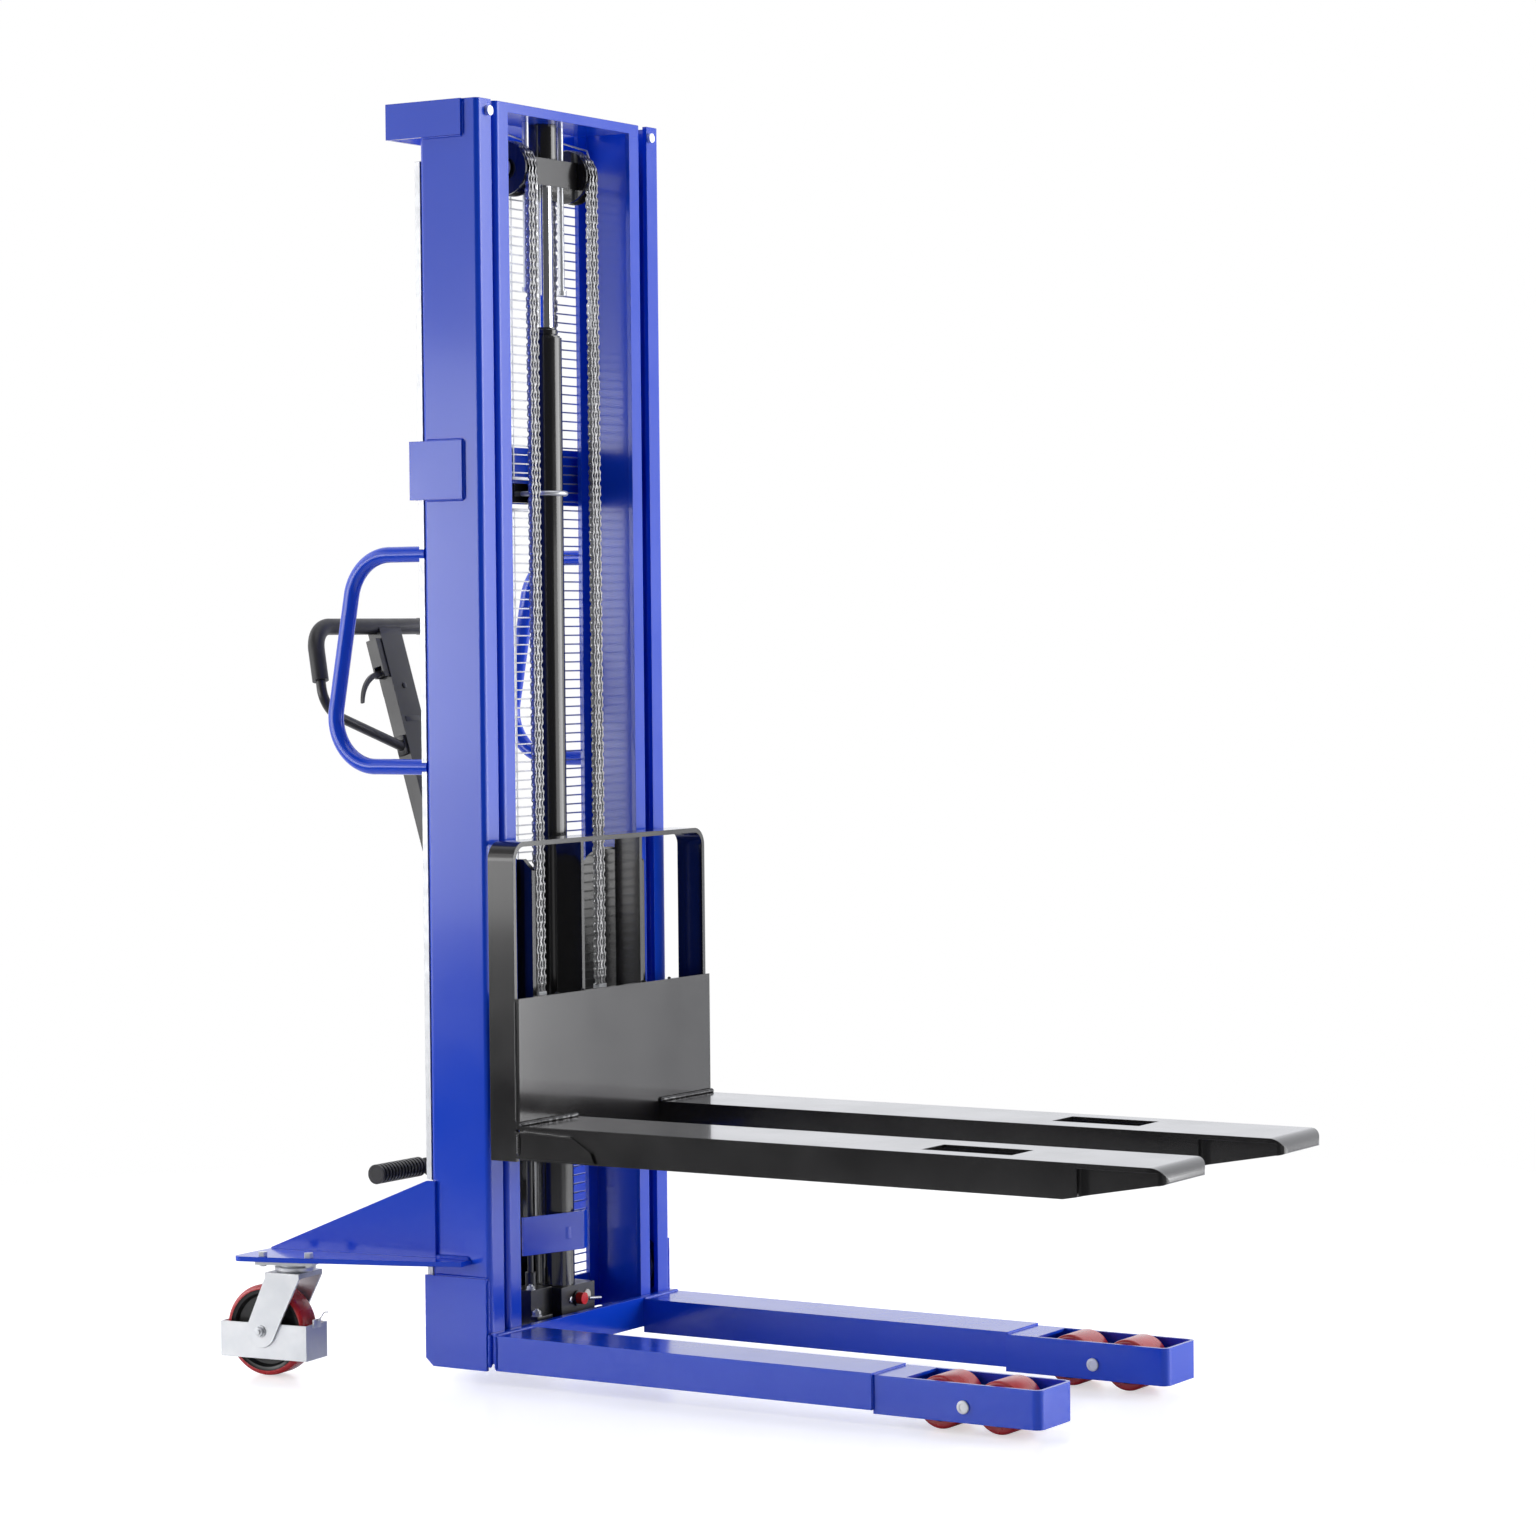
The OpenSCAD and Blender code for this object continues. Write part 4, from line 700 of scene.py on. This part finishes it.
def make_bolts():
    bm = bmesh.new()
    blo, bhi = box_mm("roller_box_near")
    pivot = joint("bogie_near_rock")["pos_m"]
    x = (pivot[0] - FRONT) / MM
    z = pivot[2] / MM + SINK
    head = [(0, 10.5), (1.6, 10.5), (2.4, 9.6), (2.6, 6), (1.8, 5.4)]
    for s in (-1, 1):
        outer = s * abs(blo[1])
        for y, d in ((outer, s), (s * abs(bhi[1]), -s)):
            lathe_caps(bm, head, at(x, y, z), (0, d, 0), 32)
    piece("bogie_bolt_heads", bm, "frame", ZINC, 30)


def make_clamp():
    """Zinc U-bolt round the lift cylinder, over the CAD one."""
    lo, hi = box_mm("lift_cylinder")
    x = (lo[0] + hi[0]) / 2
    z = box_mm("cylinder_bracket")[0][2] + 15
    r = box_mm("cylinder_bracket")[1][0] - x - 4
    turns = [math.pi * k / 24 for k in range(25)]
    bend = [at(x + r * math.sin(a), -r * math.cos(a), z) for a in turns]
    path = [at(x - 40, -r, z), *bend, at(x - 40, r, z)]
    rod("u_bolt_zinc", path, 4.25, "frame", ZINC, 14)


def make_caster_details():
    for which, s in sides():
        roll = joint(f"caster_{which}_roll")
        centre, axis = Vector(roll["pos_m"]), Vector(roll["axis"])
        ahead = Vector((axis.y, -axis.x, 0)).normalized()
        bm = bmesh.new()
        for d in (-1, 1):
            hex_bolt(bm, centre + axis * d * 36.3 * MM, axis * d, 15, 5)
        pivot = Vector(joint(f"caster_{which}_swivel")["pos_m"])
        pivot.z = at(0, 0, box_mm(f"caster_{which}")[1][2] - 12).z
        lathe_caps(bm, [(0, 30), (2, 33), (7, 34), (9, 30), (9.6, 29)], pivot, (0, 0, 1), 40)
        piece(f"caster_hardware_{which}", bm, f"caster_{which}", ZINC, 30)
        tab = centre + ahead * 94 * MM
        tab.z = at(0, 0, 98).z
        bm = bmesh.new()
        turn = Matrix((ahead, axis, Vector((0, 0, 1)))).transposed().to_4x4()
        block(bm, tab - ahead * 8 * MM + Vector((0, 0, -0.004)), (3, 22, 14), 0.8, turn)
        wire = [tab + ahead * a * MM + Vector((0, 0, up * MM)) for a, up in ((-6, 0), (0, 6), (6, 14), (14, 16))]
        sweep(bm, smooth_path(wire), 1.2, 8)
        piece(f"caster_brake_{which}", bm, f"caster_{which}", ZINC, 40)


def make_lift_details():
    lo, hi = box_mm("lift_cylinder")
    x = (lo[0] + hi[0]) / 2
    top = hi[2]
    gland = [(0, 20), (1, 21.5), (8, 21.5), (9, 20.5), (10, 16), (10.2, 15.2)]
    turned("cylinder_gland", gland, at(x, 0, top - 12), (0, 0, 1), "frame", BLACK, 40)
    for which, s in sides():
        wlo, whi = box_mm(f"chain_wheel_{which}")
        cx, cz = (wlo[0] + whi[0]) / 2, (wlo[2] + whi[2]) / 2
        y = s * abs(whi[1] if s > 0 else wlo[1])
        bm = bmesh.new()
        lathe_caps(bm, [(5, 17), (6, 18), (8, 18), (8.6, 17)], at(cx, y, cz), (0, s, 0), 32)
        lathe_caps(bm, [(8.6, 8), (10, 8), (10.6, 7)], at(cx, y, cz), (0, s, 0), 24)
        piece(f"wheel_washer_{which}", bm, "crosshead", ZINC, 30)
        r = (whi[0] - wlo[0]) / 2
        mid = s * (abs(wlo[1]) + abs(whi[1])) / 2
        keeper = [at(cx - 8, mid - s * 8, cz + r + 14), at(cx + 32, mid + s * 2, cz + r)]
        keeper.append(at(cx + 36, mid + s * 2, cz + r - 12))
        rod(f"chain_keeper_{which}", keeper, 1.6, "crosshead", WIRE, 8)


def make_tiller_details():
    pivot = Vector(joint("tiller_swing")["pos_m"])
    trigger = joint("trigger_squeeze")
    out = Vector(trigger["axis"])
    up = Vector((-out.z, 0, out.x))
    along = (Vector(trigger["pos_m"]) - pivot).dot(up)
    turn = Matrix((out, Vector((0, 1, 0)), up)).transposed().to_4x4()

    def on_arm(x, y, z):
        return pivot + out * x * MM + Vector((0, y * MM, 0)) + up * (along + z * MM)

    bm = bmesh.new()
    block(bm, on_arm(-19, 2, 10), (13, 34, 92), 2.5, turn)
    block(bm, on_arm(-17, 4, -44), (10, 22, 26), 2, turn)
    piece("release_box", bm, "tiller", BLACK, 40)
    link = [on_arm(-21, 4, -50), on_arm(-20, 4, -250), on_arm(-16, 3, -470), on_arm(-15, 0, -along / MM + 60)]
    rod("release_link", link, 3, "tiller", STEEL, 10)
    bm = bmesh.new()
    for s in (-1, 1):
        block(bm, on_arm(0, s * 32, -128), (20, 6, 34), 1.5, turn)
    block(bm, on_arm(0, 0, -84), (27.5, 40, 10), 1.2, turn)
    lathe_caps(bm, [(0, 5), (1.5, 5), (2, 4.2)], on_arm(13, 0, -25), out, 20, 0)
    piece("loop_clamps", bm, "tiller", HANDLE, 40)
    bm = bmesh.new()
    seam = [(-1.2, 14.25), (-0.6, 14.6), (0.6, 14.6), (1.2, 14.25)]
    for y in (-100, 100):
        centre = pivot + up * (along + 84 * MM) + Vector((0, y * MM, 0))
        lathe_caps(bm, seam, centre, (0, 1, 0), 32)
    piece("grip_seams", bm, "tiller", GRIP, 40)


def make_pump_details():
    bm = bmesh.new()
    vlo, vhi = box_mm("valve_knob")
    y, z = (vlo[1] + vhi[1]) / 2, (vlo[2] + vhi[2]) / 2
    face = vlo[0] - 4.3
    lathe_caps(bm, [(0, 9.6), (1.6, 9.6), (2, 9)], at(face, y + 29, z + 1), (1, 0, 0), 32)
    piece("valve_ring", bm, "frame", PAD, 30)
    bm = bmesh.new()
    sweep(bm, [at(face + 5, y + 27, z - 4), at(face + 5, y + 62, z - 8)], 3, 12)
    lathe_caps(bm, [(0, 5.5), (1.5, 5.5), (2, 4.8)], at(face, y - 18, z - 1), (1, 0, 0), 20)
    piece("valve_stem", bm, "frame", STEEL, 40)
    bm = bmesh.new()
    block(bm, at(-32, -77, 83), (16, 44, 10), 1.5)
    piece("foot_lug", bm, "frame", IRON, 40)
    bm = bmesh.new()
    hex_bolt(bm, at(-32, -90, 88), (0, 0, 1), 13, 8)
    for bx in (-48, -76):
        hex_bolt(bm, at(bx, -84, box_mm("lift_cylinder")[0][2] + 2), (0, 0, 1), 12, 5)
    piece("pump_bolts", bm, "frame", ZINC, 30)


def make_pedal_details():
    lo, hi = box_mm("foot_pedal")
    bm = bmesh.new()
    x, z = lo[0] + 16.5, hi[2] - 16.5
    end = [(-0.3, 13.5), (0.6, 13.8), (0.8, 12.5), (0.4, 9), (-1.5, 4.5), (-3, 4)]
    lathe_caps(bm, end, at(x, lo[1] + 0.6, z), (0, -1, 0), 36)
    piece("pedal_end", bm, "foot_pedal", RUBBER, 40)


make_camera()
make_light()
dress_cad()
make_chains()
make_casters()
make_load_rollers()
make_welds()
make_bolts()
make_clamp()
make_caster_details()
make_lift_details()
make_tiller_details()
make_pump_details()
make_pedal_details()
